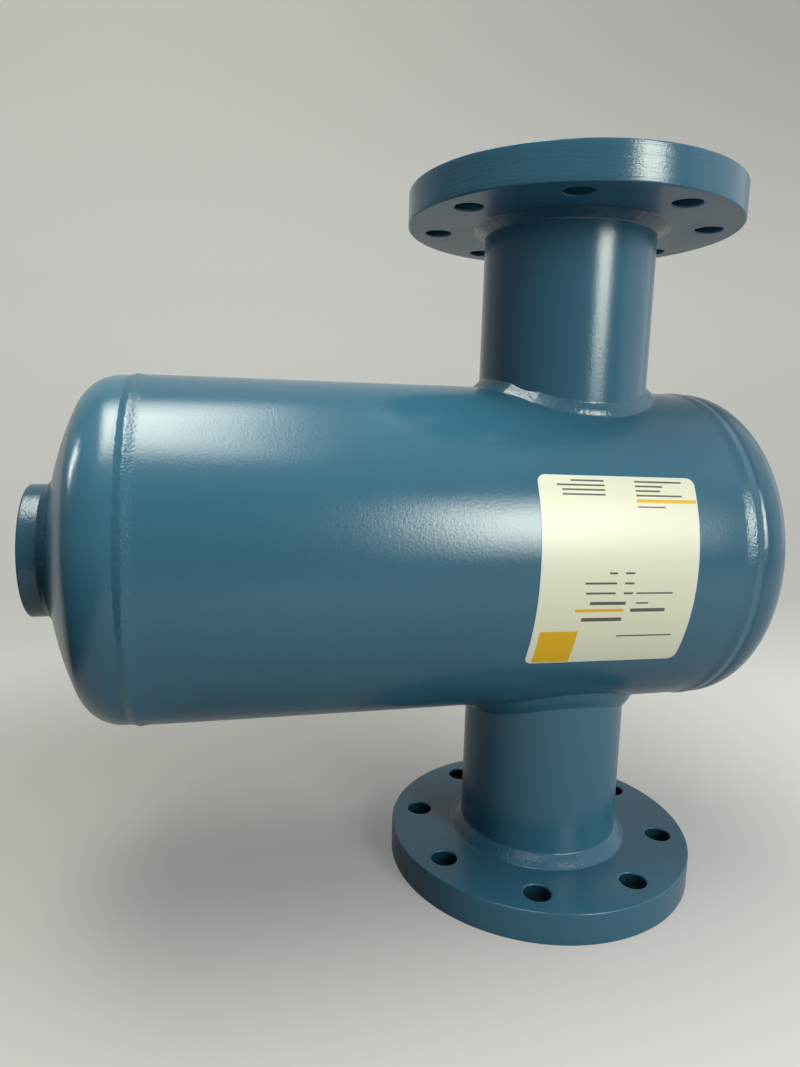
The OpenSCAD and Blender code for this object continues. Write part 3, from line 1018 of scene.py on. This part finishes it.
def enamel_tone():
    """Group: the enamel's colour with slow cloudy change and fine pigment, and its roughness."""
    def build(tree, given):
        place = object_place(tree)
        cloud = minus(tree, noise(tree, place, 11.0, 3.0), 0.5)
        grain = minus(tree, noise(tree, place, 700.0, 2.0), 0.5)
        level = plus(tree, times(tree, cloud, 0.16), times(tree, grain, 0.08), 1.0)
        return [stretch(tree, given["Colour"], level),
                plus(tree, given["Roughness"], times(tree, cloud, 0.10))]
    return group("Enamel Tone", [("Colour", "Color", (0, 0, 0, 1)), ("Roughness", "Float", 0.25)],
                 [("Colour", "Color"), ("Roughness", "Float")], build)


def specks():
    """Group: mask of a few small specks, where a random cell's middle is near."""
    def build(tree, given):
        cells = add(tree, "TexVoronoi", {"Vector": object_place(tree), "Scale": 90.0})
        draw = add(tree, "SeparateColor", {0: cells.outputs["Color"]}).outputs[0]
        chosen = less(tree, minus(tree, 1.0, given["Share"]), draw)
        return [times(tree, chosen, less(tree, cells.outputs["Distance"], given["Size"]))]
    return group("Specks", [("Share", "Float", 0.03), ("Size", "Float", 0.04)],
                 [("Mask", "Float")], build)


def dust_film():
    """Group: mask of a thin uneven film of dry overspray and dust in broken patches."""
    def build(tree, given):
        place = object_place(tree)
        patches = step(tree, noise(tree, place, 34.0, 5.0, 0.62), 0.50, 0.66)
        broken = step(tree, noise(tree, place, 150.0, 5.0, 0.75), 0.30, 0.62)
        return [times(tree, patches, broken, given["Amount"])]
    return group("Dust Film", [("Amount", "Float", 0.3)], [("Mask", "Float")], build)


# ---------------------------------------------------------------- materials

# Colours of what lies on the finishes
DUST = (0.20, 0.25, 0.30, 1)
SPECK = (0.006, 0.012, 0.018, 1)
BROWN_BLOOM = (0.16, 0.085, 0.05, 1)
DARK_SCALE = (0.05, 0.05, 0.052, 1)
STAIN = (0.17, 0.14, 0.12, 1)
PALE_RIM = (0.66, 0.74, 0.78, 1)


def material(name, build):
    """The material of this name, built once. build gets its node tree and returns what the
    sockets of its Principled shader get."""
    if name not in bpy.data.materials:
        made = bpy.data.materials.new(name)
        made.use_nodes = True
        tree = made.node_tree
        connect(tree, tree.nodes["Principled BSDF"].inputs, build(tree))
    return bpy.data.materials[name]


def coat_of_enamel(tree, line_scale, dust=None, shade=1.0, line_weight=0.3, relief=1.0):
    """Colour, roughness and normal of the enamel, with its specks, and dust where it has any."""
    tone = use(tree, enamel_tone(), Colour=tint(finish().enamel, shade), Roughness=finish().gloss)
    colour, rough = tone["Colour"], tone["Roughness"]
    if dust is not None:
        film = use(tree, dust_film(), Amount=dust)["Mask"]
        colour = blend(tree, film, colour, DUST)
        rough = plus(tree, rough, times(tree, film, 0.45))
    spots = use(tree, specks(), Share=0.012, Size=0.045)["Mask"]
    peel = use(tree, orange_peel(), Height=relief * finish().peel, Line_Scale=line_scale,
               Line_Weight=line_weight)
    return {"Base Color": blend(tree, times(tree, spots, 0.7), colour, SPECK),
            "Roughness": rough, "Normal": peel["Normal"]}


def enamel(name, line_scale=(300, 300, 300), shade=1.0, relief=1.0):
    """Satin grey-blue enamel, with faint lines round the piece at the given scale. A shade under 1
    darkens its colour, which is painted shade where less light reaches the piece, and more relief is for
    rough metal under it."""
    return material(name, lambda tree: coat_of_enamel(tree, line_scale, shade=shade, relief=relief))


def weld_enamel(shaded=False):
    """The enamel over the beads, with more relief, and darker where it is shaded, which is painted
    shade.
    """
    # A shade of 0.62 darkens this enamel, which is painted shade on the upper hub weld and the drain
    # socket's weld.
    name, shade = ("Thin Weld Enamel", 0.62) if shaded else ("Weld Enamel", 1.0)
    return enamel(name, shade=shade, relief=3.2)


def flange_enamel():
    """Enamel on a flange, with lines round its rim, duller on its faces and dusted in a ring
    on its back. It is masked off from the sealing face, which is turned steel with rings
    0.8 mm apart as far as a gasket reaches."""
    def build(tree):
        place = object_place(tree)
        x, y, z = split(tree, place)
        radius = vector_length(tree, add(tree, "CombineXYZ", {0: x, 1: y}).outputs[0])
        from_middle = calc(tree, "ABSOLUTE", minus(tree, z, AXIS_Z))
        behind = less(tree, from_middle, FLANGE_UNDER - AXIS_Z + 0.5 * MM)
        ring = times(tree, step(tree, radius, 66 * MM, 76 * MM), step(tree, radius, 104 * MM, 92 * MM))
        coat = coat_of_enamel(tree, (50, 50, 1100), times(tree, behind, ring, 0.14), line_weight=2.0)
        faces = less(tree, radius, FLANGE_R - MM)
        painted = plus(tree, coat["Roughness"], times(tree, faces, 0.13))
        ragged = plus(tree, radius, times(tree, noise(tree, place, 130.0, 4.0), 1.6 * MM))
        bare = times(tree, less(tree, ragged, BOLT_CIRCLE - BOLT_HOLE),
                     calc(tree, "GREATER_THAN", from_middle, AXIS_Z - 0.3 * MM))
        cut = calc(tree, "SINE", times(tree, radius, FULL / (0.8 * MM)))
        turned = bump(tree, times(tree, cut, 0.02 * MM))
        normals = add(tree, "Mix", {0: bare, 4: coat["Normal"], 5: turned}, data_type="VECTOR")
        metal = blend(tree, noise(tree, place, 60.0, 3.0), tint(finish().steel),
                      tint(finish().steel, 0.8))
        return {"Base Color": blend(tree, bare, coat["Base Color"], metal),
                "Metallic": bare,
                "Roughness": plus(tree, times(tree, painted, minus(tree, 1.0, bare)),
                                  times(tree, bare, 0.34)),
                "Normal": normals.outputs[1]}
    return material("Flange Enamel", build)


def mill_steel():
    """Unpainted pipe steel: dark scale with a thin brown bloom."""
    def build(tree):
        place = object_place(tree)
        bloom = step(tree, noise(tree, place, 38.0, 6.0, 0.65), 0.46, 0.72)
        grain = noise(tree, place, 600.0, 3.0)
        colour = blend(tree, bloom, tint(finish().mill), BROWN_BLOOM)
        return {"Base Color": blend(tree, times(tree, grain, 0.4), colour, DARK_SCALE),
                "Metallic": minus(tree, 0.75, times(tree, bloom, 0.6)),
                "Roughness": plus(tree, times(tree, bloom, 0.25), 0.42),
                "Normal": bump(tree, times(tree, grain, 0.05 * MM))}
    return material("Mill Steel", build)


def bright_steel(name, scale, rough, dull):
    """Bare steel with drawn or turned lines at the given scale, stained by the share dull."""
    def build(tree):
        place = object_place(tree)
        lines = noise(tree, stretch(tree, place, scale), 1.0, 3.0)
        stain = step(tree, noise(tree, place, 30.0, 5.0), 0.45, 0.75)
        return {"Base Color": blend(tree, times(tree, stain, dull), tint(finish().steel), STAIN),
                "Metallic": 1.0,
                "Roughness": plus(tree, times(tree, lines, 0.15), rough),
                "Normal": bump(tree, times(tree, lines, 0.02 * MM))}
    return material(name, build)


def machined_steel():
    """Bright steel of the thread, turned round the vessel's axis."""
    return bright_steel("Machined Steel", (900, 60, 60), 0.24, 0.35)


def insert_steel():
    """Stained steel of the wound elements and their carriers, drawn along the vessel."""
    return bright_steel("Insert Steel", (60, 500, 500), 0.30, 0.6)


def printed_bar():
    """Group: mask of an upright rectangle, from its middle and its sizes."""
    def build(tree, given):
        masks = []
        for place, middle, size in (("Along", "Middle Along", "Length"), ("Up", "Middle Up", "Height")):
            off = calc(tree, "ABSOLUTE", minus(tree, given[place], given[middle]))
            masks.append(less(tree, off, times(tree, given[size], 0.5)))
        return [times(tree, *masks)]
    names = ("Along", "Up", "Middle Along", "Middle Up", "Length", "Height")
    return group("Printed Bar", [(name, "Float", 0.0) for name in names], [("Mask", "Float")], build)


# Middle along, middle up, length and height of what is printed on the label, in millimetres
# from its middle: coloured bands, then the grey rules of an empty form.
AMBER_BARS = [(-34, -49, 24, 28), (30.5, 44, 40, 2.1), (-11, -21.3, 31, 1.9)]
RULE_BARS = ([(10.7 + wide / 2, 56 - 2.9 * k, wide, 1.1) for k, wide in enumerate((31, 18, 16, 30))]
             + [(-9 - wide / 2, 56 - 2.9 * k, wide, 1.1) for k, wide in enumerate((21, 30, 27, 27))]
             + [(20, 40.3, 18, 0.9)]
             + [(-2.4 - wide / 2, 1.4 - 6 * k, wide, 1.2) for k, wide in enumerate((5, 20, 19))]
             + [(5.8, 1.4 - 6 * k, 6, 1.2) for k in range(3)]
             + [(23, -10.6, 24, 1.0), (-6.5, -16.8, 23, 2.0), (16, -16.8, 8, 1.0)]
             + [(20.3, -21.3, 23, 2.2), (-8.7, -27.2, 26, 2.4), (22.5, -39, 37, 1.0)])


def label_film():
    """Printed film with a soft gloss and a pale rim along its edge. The place up the label is the turn
    round the vessel times its radius, and both places are turned with the label. The rim is where the
    distance out from the corners' middles nears their radius."""
    low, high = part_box("label")
    half_length = (high.x - low.x) / 2
    half_height = math.asin((high.z - low.z) / 2 / BARREL_R) * BARREL_R
    cosine, sine = math.cos(shape().label_turn), math.sin(shape().label_turn)

    def build(tree):
        def weighed(first, share, second, other):
            """Sum of two outputs, each times its share."""
            return plus(tree, times(tree, first, share), times(tree, second, other))

        place = object_place(tree)
        x, y, z = split(tree, place)
        across = minus(tree, x, (low.x + high.x) / 2)
        turn = calc(tree, "ARCTAN2", minus(tree, z, AXIS_Z), times(tree, y, -1.0))
        rise = times(tree, turn, BARREL_R)
        along = weighed(across, cosine, rise, -sine)
        up = weighed(rise, cosine, across, sine)
        off = [calc(tree, "MAXIMUM", minus(tree, calc(tree, "ABSOLUTE", way), half - LABEL_CORNER), 0.0)
               for way, half in ((along, half_length), (up, half_height))]
        out = calc(tree, "SQRT", weighed(off[0], off[0], off[1], off[1]))
        rim = step(tree, out, LABEL_CORNER - 1.1 * MM, LABEL_CORNER - 0.6 * MM)

        def printed(bars):
            """Mask of all the bars."""
            return chain(tree, "MAXIMUM", [
                use(tree, printed_bar(), Along=along, Up=up, Middle_Along=bar[0] * MM,
                    Middle_Up=bar[1] * MM, Length=bar[2] * MM, Height=bar[3] * MM)["Mask"]
                for bar in bars])

        paper = noise(tree, place, 45.0, 3.0)
        colour = blend(tree, times(tree, paper, 0.10), tint(finish().film), tint(finish().film, 0.86))
        colour = blend(tree, printed(AMBER_BARS), colour, tint(finish().amber))
        colour = blend(tree, printed(RULE_BARS), colour, tint(finish().ink))
        relief = plus(tree, times(tree, noise(tree, place, 60.0, 2.0), 0.16 * MM),
                      times(tree, noise(tree, place, 900.0, 1.0), 0.004 * MM))
        return {"Base Color": blend(tree, rim, colour, PALE_RIM),
                "Roughness": plus(tree, times(tree, paper, 0.1), 0.30),
                "Normal": bump(tree, relief)}
    return material("Label Film", build)


# ---------------------------------------------------------------- stage

def seen_rays(tree, share):
    """Output that is 1 for rays from the camera, and the share for what metal, gloss and
    glass show."""
    rays = add(tree, "LightPath").outputs
    mirrored = calc(tree, "ADD", rays["Is Glossy Ray"], rays["Is Transmission Ray"], clamp=True)
    return calc(tree, "ADD", rays["Is Camera Ray"], times(tree, mirrored, share), clamp=True)


def stage_mesh(name, points, faces, made):
    """An object of the stage, which is no part of the separator."""
    mesh = bpy.data.meshes.new(name)
    mesh.from_pydata(points, [], faces)
    mesh.materials.append(made)
    thing = bpy.data.objects.new(name, mesh)
    bpy.context.scene.collection.objects.link(thing)
    return thing


def dark_card():
    """A dark card at the left, bent on to the floor, which only shows in the gloss of what faces it: a
    painted reflection of shade on that side. It glows greyer above, and paler towards its edge near the
    vessel, which are painted reflections of light."""
    def build(tree):
        x, _, z = split(tree, object_place(tree))
        # Painted reflection: glow above and near the card's edge, seen only in gloss.
        above = times(tree, step(tree, z, 0.05, 0.45), stage().dim_glow)
        edge = times(tree, step(tree, x, -0.56, -0.48), 0.30)
        return {"Base Color": (0.008, 0.010, 0.012, 1), "Roughness": 0.9,
                "Emission Color": (0.9, 0.95, 1.0, 1),
                "Emission Strength": calc(tree, "MAXIMUM", above, edge)}

    outline = ((-0.48, 0.002, 0.15), (-0.84, 0.002, 0.15), (-0.84, 0.45, 0.43))
    corners = [(x, y, z) for x, z, end in outline for y in (-1.5, end)]
    card = stage_mesh("dark_card", corners, [(0, 1, 3, 2), (2, 3, 5, 4)], material("Dark Card", build))
    card.visible_camera = card.visible_diffuse = card.visible_shadow = False


def studio_paper():
    """The pale floor and backdrop. Its glow fades under the vessel, by a smooth step of the distance
    from there, so that the real shadow stays and a painted shadow lies over it, and it fades towards the
    backdrop and up it, which is painted shade. What lies well in front, at the left or under the vessel
    shows dimmer in gloss, a painted reflection of shade."""
    shadow, shadow_reach = (-0.20, 0.10, 0), (0.50, 0.34, 0.50)

    def build(tree):
        place = object_place(tree)
        x, y, z = split(tree, place)
        fleck = times(tree, noise(tree, place, 3.0, 3.0), 0.12)
        from_shadow = add(tree, "VectorMath", {0: place, 1: shadow}, operation="SUBTRACT").outputs[0]
        away = vector_length(tree, stretch(tree, from_shadow, [1 / part for part in shadow_reach]))
        # Painted shadow and shade: the glow is dimmed under the vessel, towards and up the backdrop, and
        # along the curve at its foot.
        horizon = times(tree, step(tree, y, 0.1, 0.6), step(tree, z, 0.7, 0.1))
        dim = plus(tree, times(tree, step(tree, away, 1.5, 0.2), 0.62),
                   times(tree, step(tree, y, -0.30, 1.0), 0.39),
                   times(tree, step(tree, z, 0.5, 1.4), 0.25), times(tree, horizon, 0.10))
        # Painted reflection of shade: in gloss the floor shows dimmer in front, under the vessel and at
        # the left.
        in_gloss = times(tree, plus(tree, times(tree, step(tree, y, -1.3, -0.5), 0.65), 0.35),
                         minus(tree, 1.0, times(tree, step(tree, away, 2.4, 0.4), 0.55)),
                         minus(tree, 1.0, times(tree, step(tree, x, -0.1, -0.8), 0.35)))
        glow = times(tree, minus(tree, 1.0, dim), stage().floor_glow)
        return {"Base Color": blend(tree, fleck, tint(stage().floor), tint(stage().floor, 0.85)),
                "Roughness": 0.85, "Emission Color": (1.0, 0.99, 0.97, 1),
                "Emission Strength": times(tree, seen_rays(tree, in_gloss), glow)}
    return material("Studio Paper", build)


def stage_sheet():
    """The floor and backdrop in one sheet: a flat floor, a quarter circle and a wall, drawn
    as one outline in y and z across its width."""
    back, bend, top, side = 1.3, 0.6, 3.2, 4.0
    quarter = np.linspace(0, FULL / 4, 17)
    outline = np.concatenate([
        [[-4.0, 0], [-1.5, 0]],
        np.stack([back - bend + bend * np.sin(quarter), bend - bend * np.cos(quarter)], -1),
        [[back, top]]])
    across = np.linspace(-side, side, 9)
    points, faces, _ = grid(np.stack(np.broadcast_arrays(across, outline[:, :1], outline[:, 1:]), -1))
    sheet = stage_mesh("studio_sweep", points.tolist(), faces.tolist(), studio_paper())
    sheet.data.shade_smooth()


def area_light(name, place, towards, size, brightness, colour=(1, 1, 1), layers=((1, 1, 1),), only=None):
    """A soft light that faces a point: rectangles 10 mm one before another, each with its
    share of the width, the height and the brightness. A rectangle's power is its brightness
    times its area times pi. One for only a named object shows in nothing but its gloss."""
    facing = (Vector(towards) - Vector(place)).normalized()
    for index, (wide, high, share) in enumerate(layers):
        light = bpy.data.lights.new(f"{name}_{index}", "AREA")
        light.shape = "RECTANGLE"
        light.size, light.size_y = wide * size[0], high * size[1]
        light.energy = share * brightness * light.size * light.size_y * math.pi
        light.color = colour
        lamp = bpy.data.objects.new(light.name, light)
        lamp.visible_camera, lamp.visible_diffuse = False, not only
        if only:
            lamp.light_linking.receiver_collection = bpy.data.collections.new(light.name)
            lamp.light_linking.receiver_collection.objects.link(bpy.data.objects[only])
        lamp.location = Vector(place) + index * 10 * MM * facing
        lamp.rotation_euler = facing.to_track_quat("-Z", "Y").to_euler()
        bpy.context.scene.collection.objects.link(lamp)


def lights():
    """The lights: a tall one at the front right, one overhead, one for the ground stretch of
    the upper saddle weld, a narrow window far left for the drain head and a wide one at the
    right."""
    area_light("front_window", (1.05, -2.45, 1.28), (0.05, -0.1, 0.75), (0.85, 1.9),
               stage().front_light, (0.97, 1.0, 0.88),
               ((1, 1, 0.25), (0.97, 0.72, 0.35), (0.93, 0.42, 0.4)))
    area_light("overhead", (-0.56, -0.05, 2.3), (-0.56, -0.05, 0.0), (1.05, 1.9),
               stage().top_light, (0.97, 1.0, 0.87),
               ((1, 1, 0.26), (0.76, 0.76, 0.36), (0.44, 0.5, 0.38)))
    area_light("saddle_glint", (-1.02, -0.27, 2.2), (-0.05, -0.04, 0.34), (0.42, 0.6),
               2 * stage().top_light, (0.97, 1.0, 0.92), only="upper_saddle_bead")
    area_light("left_window", (-3.6, 1.07, 2.0), (-0.3, -0.09, 0.29), (0.34, 1.15),
               stage().left_light, (0.97, 1.0, 0.95), only="drain_dish")
    area_light("side_wall", (1.9, -0.2, 1.1), (0.0, 0.0, 0.4), (2.4, 2.2), stage().side_light)


def room():
    """The world: a dim room that shows pale to the camera, and in gloss is pale behind and
    overhead, by smooth steps of the direction's y and z."""
    world = bpy.data.worlds.new("Room")
    bpy.context.scene.world = world
    world.use_nodes = True
    tree = world.node_tree
    lit = tree.nodes["Background"]
    connect(tree, lit.inputs, {"Color": (0.95, 0.97, 1.0, 1), "Strength": stage().room_light})
    pale = (0.62, 0.61, 0.63)
    seen = add(tree, "Background", {"Color": tint(pale), "Strength": 1.0})
    _, y, z = split(tree, add(tree, "TexCoord").outputs["Generated"])
    open_side = calc(tree, "MAXIMUM", step(tree, y, 0.15, 0.45), step(tree, z, 0.6, 0.85))
    dim = stage().dim_glow / pale[1]
    in_gloss = plus(tree, times(tree, open_side, 1 - dim), dim)
    mix = add(tree, "MixShader",
              {0: seen_rays(tree, in_gloss), 1: lit.outputs[0], 2: seen.outputs[0]})
    tree.links.new(mix.outputs[0], tree.nodes["World Output"].inputs["Surface"])


def camera():
    """The camera, turned from +Y towards +X, tilted and then rolled about its own view."""
    turn, tilt, roll = stage().camera_turn, stage().camera_tilt, stage().camera_roll
    level = Matrix.Rotation(-turn, 3, "Z")
    ahead = level @ Vector((0, math.cos(tilt), math.sin(tilt)))
    right = level @ Vector((1, 0, 0))
    up = right.cross(ahead)
    right, up = (math.cos(roll) * right + math.sin(roll) * up,
                 -math.sin(roll) * right + math.cos(roll) * up)
    data = bpy.data.cameras.new("camera")
    data.sensor_fit = "AUTO"
    data.sensor_width = 36
    data.lens = stage().camera_lens
    data.clip_start = 0.01
    eye = bpy.data.objects.new("camera", data)
    eye.matrix_world = Matrix.Translation(stage().camera_place) @ Matrix(
        (right, up, -ahead)).transposed().to_4x4()
    bpy.context.scene.collection.objects.link(eye)
    bpy.context.scene.camera = eye


# ---------------------------------------------------------------- operators

class SEPARATOR_OT_barrel(Operator):
    """Build the barrel's wall with its two nozzle holes"""

    bl_idname = "separator.barrel"
    bl_label = "Barrel"
    bl_options = {"REGISTER", "UNDO"}

    def execute(self, context):
        barrel()
        return {"FINISHED"}


class SEPARATOR_OT_heads(Operator):
    """Build the two dished heads"""

    bl_idname = "separator.heads"
    bl_label = "Dished Heads"
    bl_options = {"REGISTER", "UNDO"}

    def execute(self, context):
        head("drain_dish", DRAIN_SEAM, -1, SOCKET_R, "drain_head")
        head("plain_dish", PLAIN_SEAM, 1, 0.0, "plain_head")
        return {"FINISHED"}


class SEPARATOR_OT_girth_seams(Operator):
    """Build the butt welds between the barrel and its heads"""

    bl_idname = "separator.girth_seams"
    bl_label = "Girth Seams"
    bl_options = {"REGISTER", "UNDO"}

    def execute(self, context):
        girth_seam("drain_dish_seam", DRAIN_SEAM, -1, 11, "drain_head_seam")
        girth_seam("plain_dish_seam", PLAIN_SEAM, 1, 13, "plain_head_seam")
        return {"FINISHED"}


class SEPARATOR_OT_nozzles(Operator):
    """Build the two nozzle pipes"""

    bl_idname = "separator.nozzles"
    bl_label = "Nozzle Pipes"
    bl_options = {"REGISTER", "UNDO"}

    def execute(self, context):
        nozzle("upper_pipe", False, "upper_nozzle")
        nozzle("lower_pipe", True, "lower_nozzle")
        return {"FINISHED"}


class SEPARATOR_OT_flanges(Operator):
    """Build the two plate flanges"""

    bl_idname = "separator.flanges"
    bl_label = "Flanges"
    bl_options = {"REGISTER", "UNDO"}

    def execute(self, context):
        flange("upper_plate_flange", False, "upper_flange")
        flange("lower_plate_flange", True, "lower_flange")
        return {"FINISHED"}


class SEPARATOR_OT_nozzle_welds(Operator):
    """Build the welds of both nozzles: on the barrel, behind the flange and in its bore"""

    bl_idname = "separator.nozzle_welds"
    bl_label = "Nozzle Welds"
    bl_options = {"REGISTER", "UNDO"}

    def execute(self, context):
        for seed, side in ((20, "upper"), (60, "lower")):
            lower = side == "lower"
            saddle_weld(f"{side}_saddle_bead", lower, seed, f"{side}_saddle_weld")
            hub_weld(f"{side}_hub_bead", lower, seed + 5, f"{side}_hub_weld")
            face_weld(f"{side}_face_bead", lower, seed + 9, f"{side}_face_weld")
        return {"FINISHED"}


class SEPARATOR_OT_drain(Operator):
    """Build the threaded drain socket and its weld"""

    bl_idname = "separator.drain"
    bl_label = "Drain Socket"
    bl_options = {"REGISTER", "UNDO"}

    def execute(self, context):
        drain_socket()
        socket_weld()
        return {"FINISHED"}


class SEPARATOR_OT_label(Operator):
    """Build the label on the barrel's front"""

    bl_idname = "separator.label"
    bl_label = "Label"
    bl_options = {"REGISTER", "UNDO"}

    def execute(self, context):
        label()
        return {"FINISHED"}


class SEPARATOR_OT_insert(Operator):
    """Build the wound elements inside and finish the plates that carry them"""

    bl_idname = "separator.insert"
    bl_label = "Separator Insert"
    bl_options = {"REGISTER", "UNDO"}

    def execute(self, context):
        for index in range(1, ELEMENTS + 1):
            element_bar(index)
            element_strip(index)
        for node in ("dirt_end_carrier", "top_end_carrier"):
            plate = frame["nodes"][node]
            plate.data.materials.clear()
            plate.data.materials.append(insert_steel())
        return {"FINISHED"}


class SEPARATOR_OT_stage(Operator):
    """Build the camera, the floor with its backdrop, the lights and the room"""

    bl_idname = "separator.stage"
    bl_label = "Stage"
    bl_options = {"REGISTER", "UNDO"}

    def execute(self, context):
        camera()
        stage_sheet()
        dark_card()
        lights()
        room()
        bpy.context.scene.view_settings.view_transform = "Standard"
        return {"FINISHED"}


OPERATORS = (SEPARATOR_OT_barrel, SEPARATOR_OT_heads, SEPARATOR_OT_girth_seams,
             SEPARATOR_OT_nozzles, SEPARATOR_OT_flanges, SEPARATOR_OT_nozzle_welds,
             SEPARATOR_OT_drain, SEPARATOR_OT_label, SEPARATOR_OT_insert, SEPARATOR_OT_stage)


class SEPARATOR_PT_panel(Panel):
    """Lists the operators that build the separator"""

    bl_idname = "SEPARATOR_PT_panel"
    bl_label = "Dirt Separator"
    bl_space_type = "VIEW_3D"
    bl_region_type = "UI"
    bl_category = "Separator"

    def draw(self, context):
        for operator in OPERATORS:
            self.layout.operator(operator.bl_idname)


GROUPS = (SeparatorFinish, SeparatorShape, SeparatorStage)


def register():
    """Adds the settings, operators and panel to Blender."""
    for item in (*GROUPS, *OPERATORS, SEPARATOR_PT_panel):
        bpy.utils.register_class(item)
    bpy.types.Scene.separator_finish = PointerProperty(type=SeparatorFinish)
    bpy.types.Scene.separator_shape = PointerProperty(type=SeparatorShape)
    bpy.types.Scene.separator_stage = PointerProperty(type=SeparatorStage)


def unregister():
    """Takes them out again."""
    for name in ("separator_finish", "separator_shape", "separator_stage"):
        delattr(bpy.types.Scene, name)
    for item in reversed((*GROUPS, *OPERATORS, SEPARATOR_PT_panel)):
        bpy.utils.unregister_class(item)


def main():
    """Registers the add-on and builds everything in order."""
    register()
    for operator in OPERATORS:
        family, name = operator.bl_idname.split(".")
        getattr(getattr(bpy.ops, family), name)()


if __name__ == "__main__":
    main()
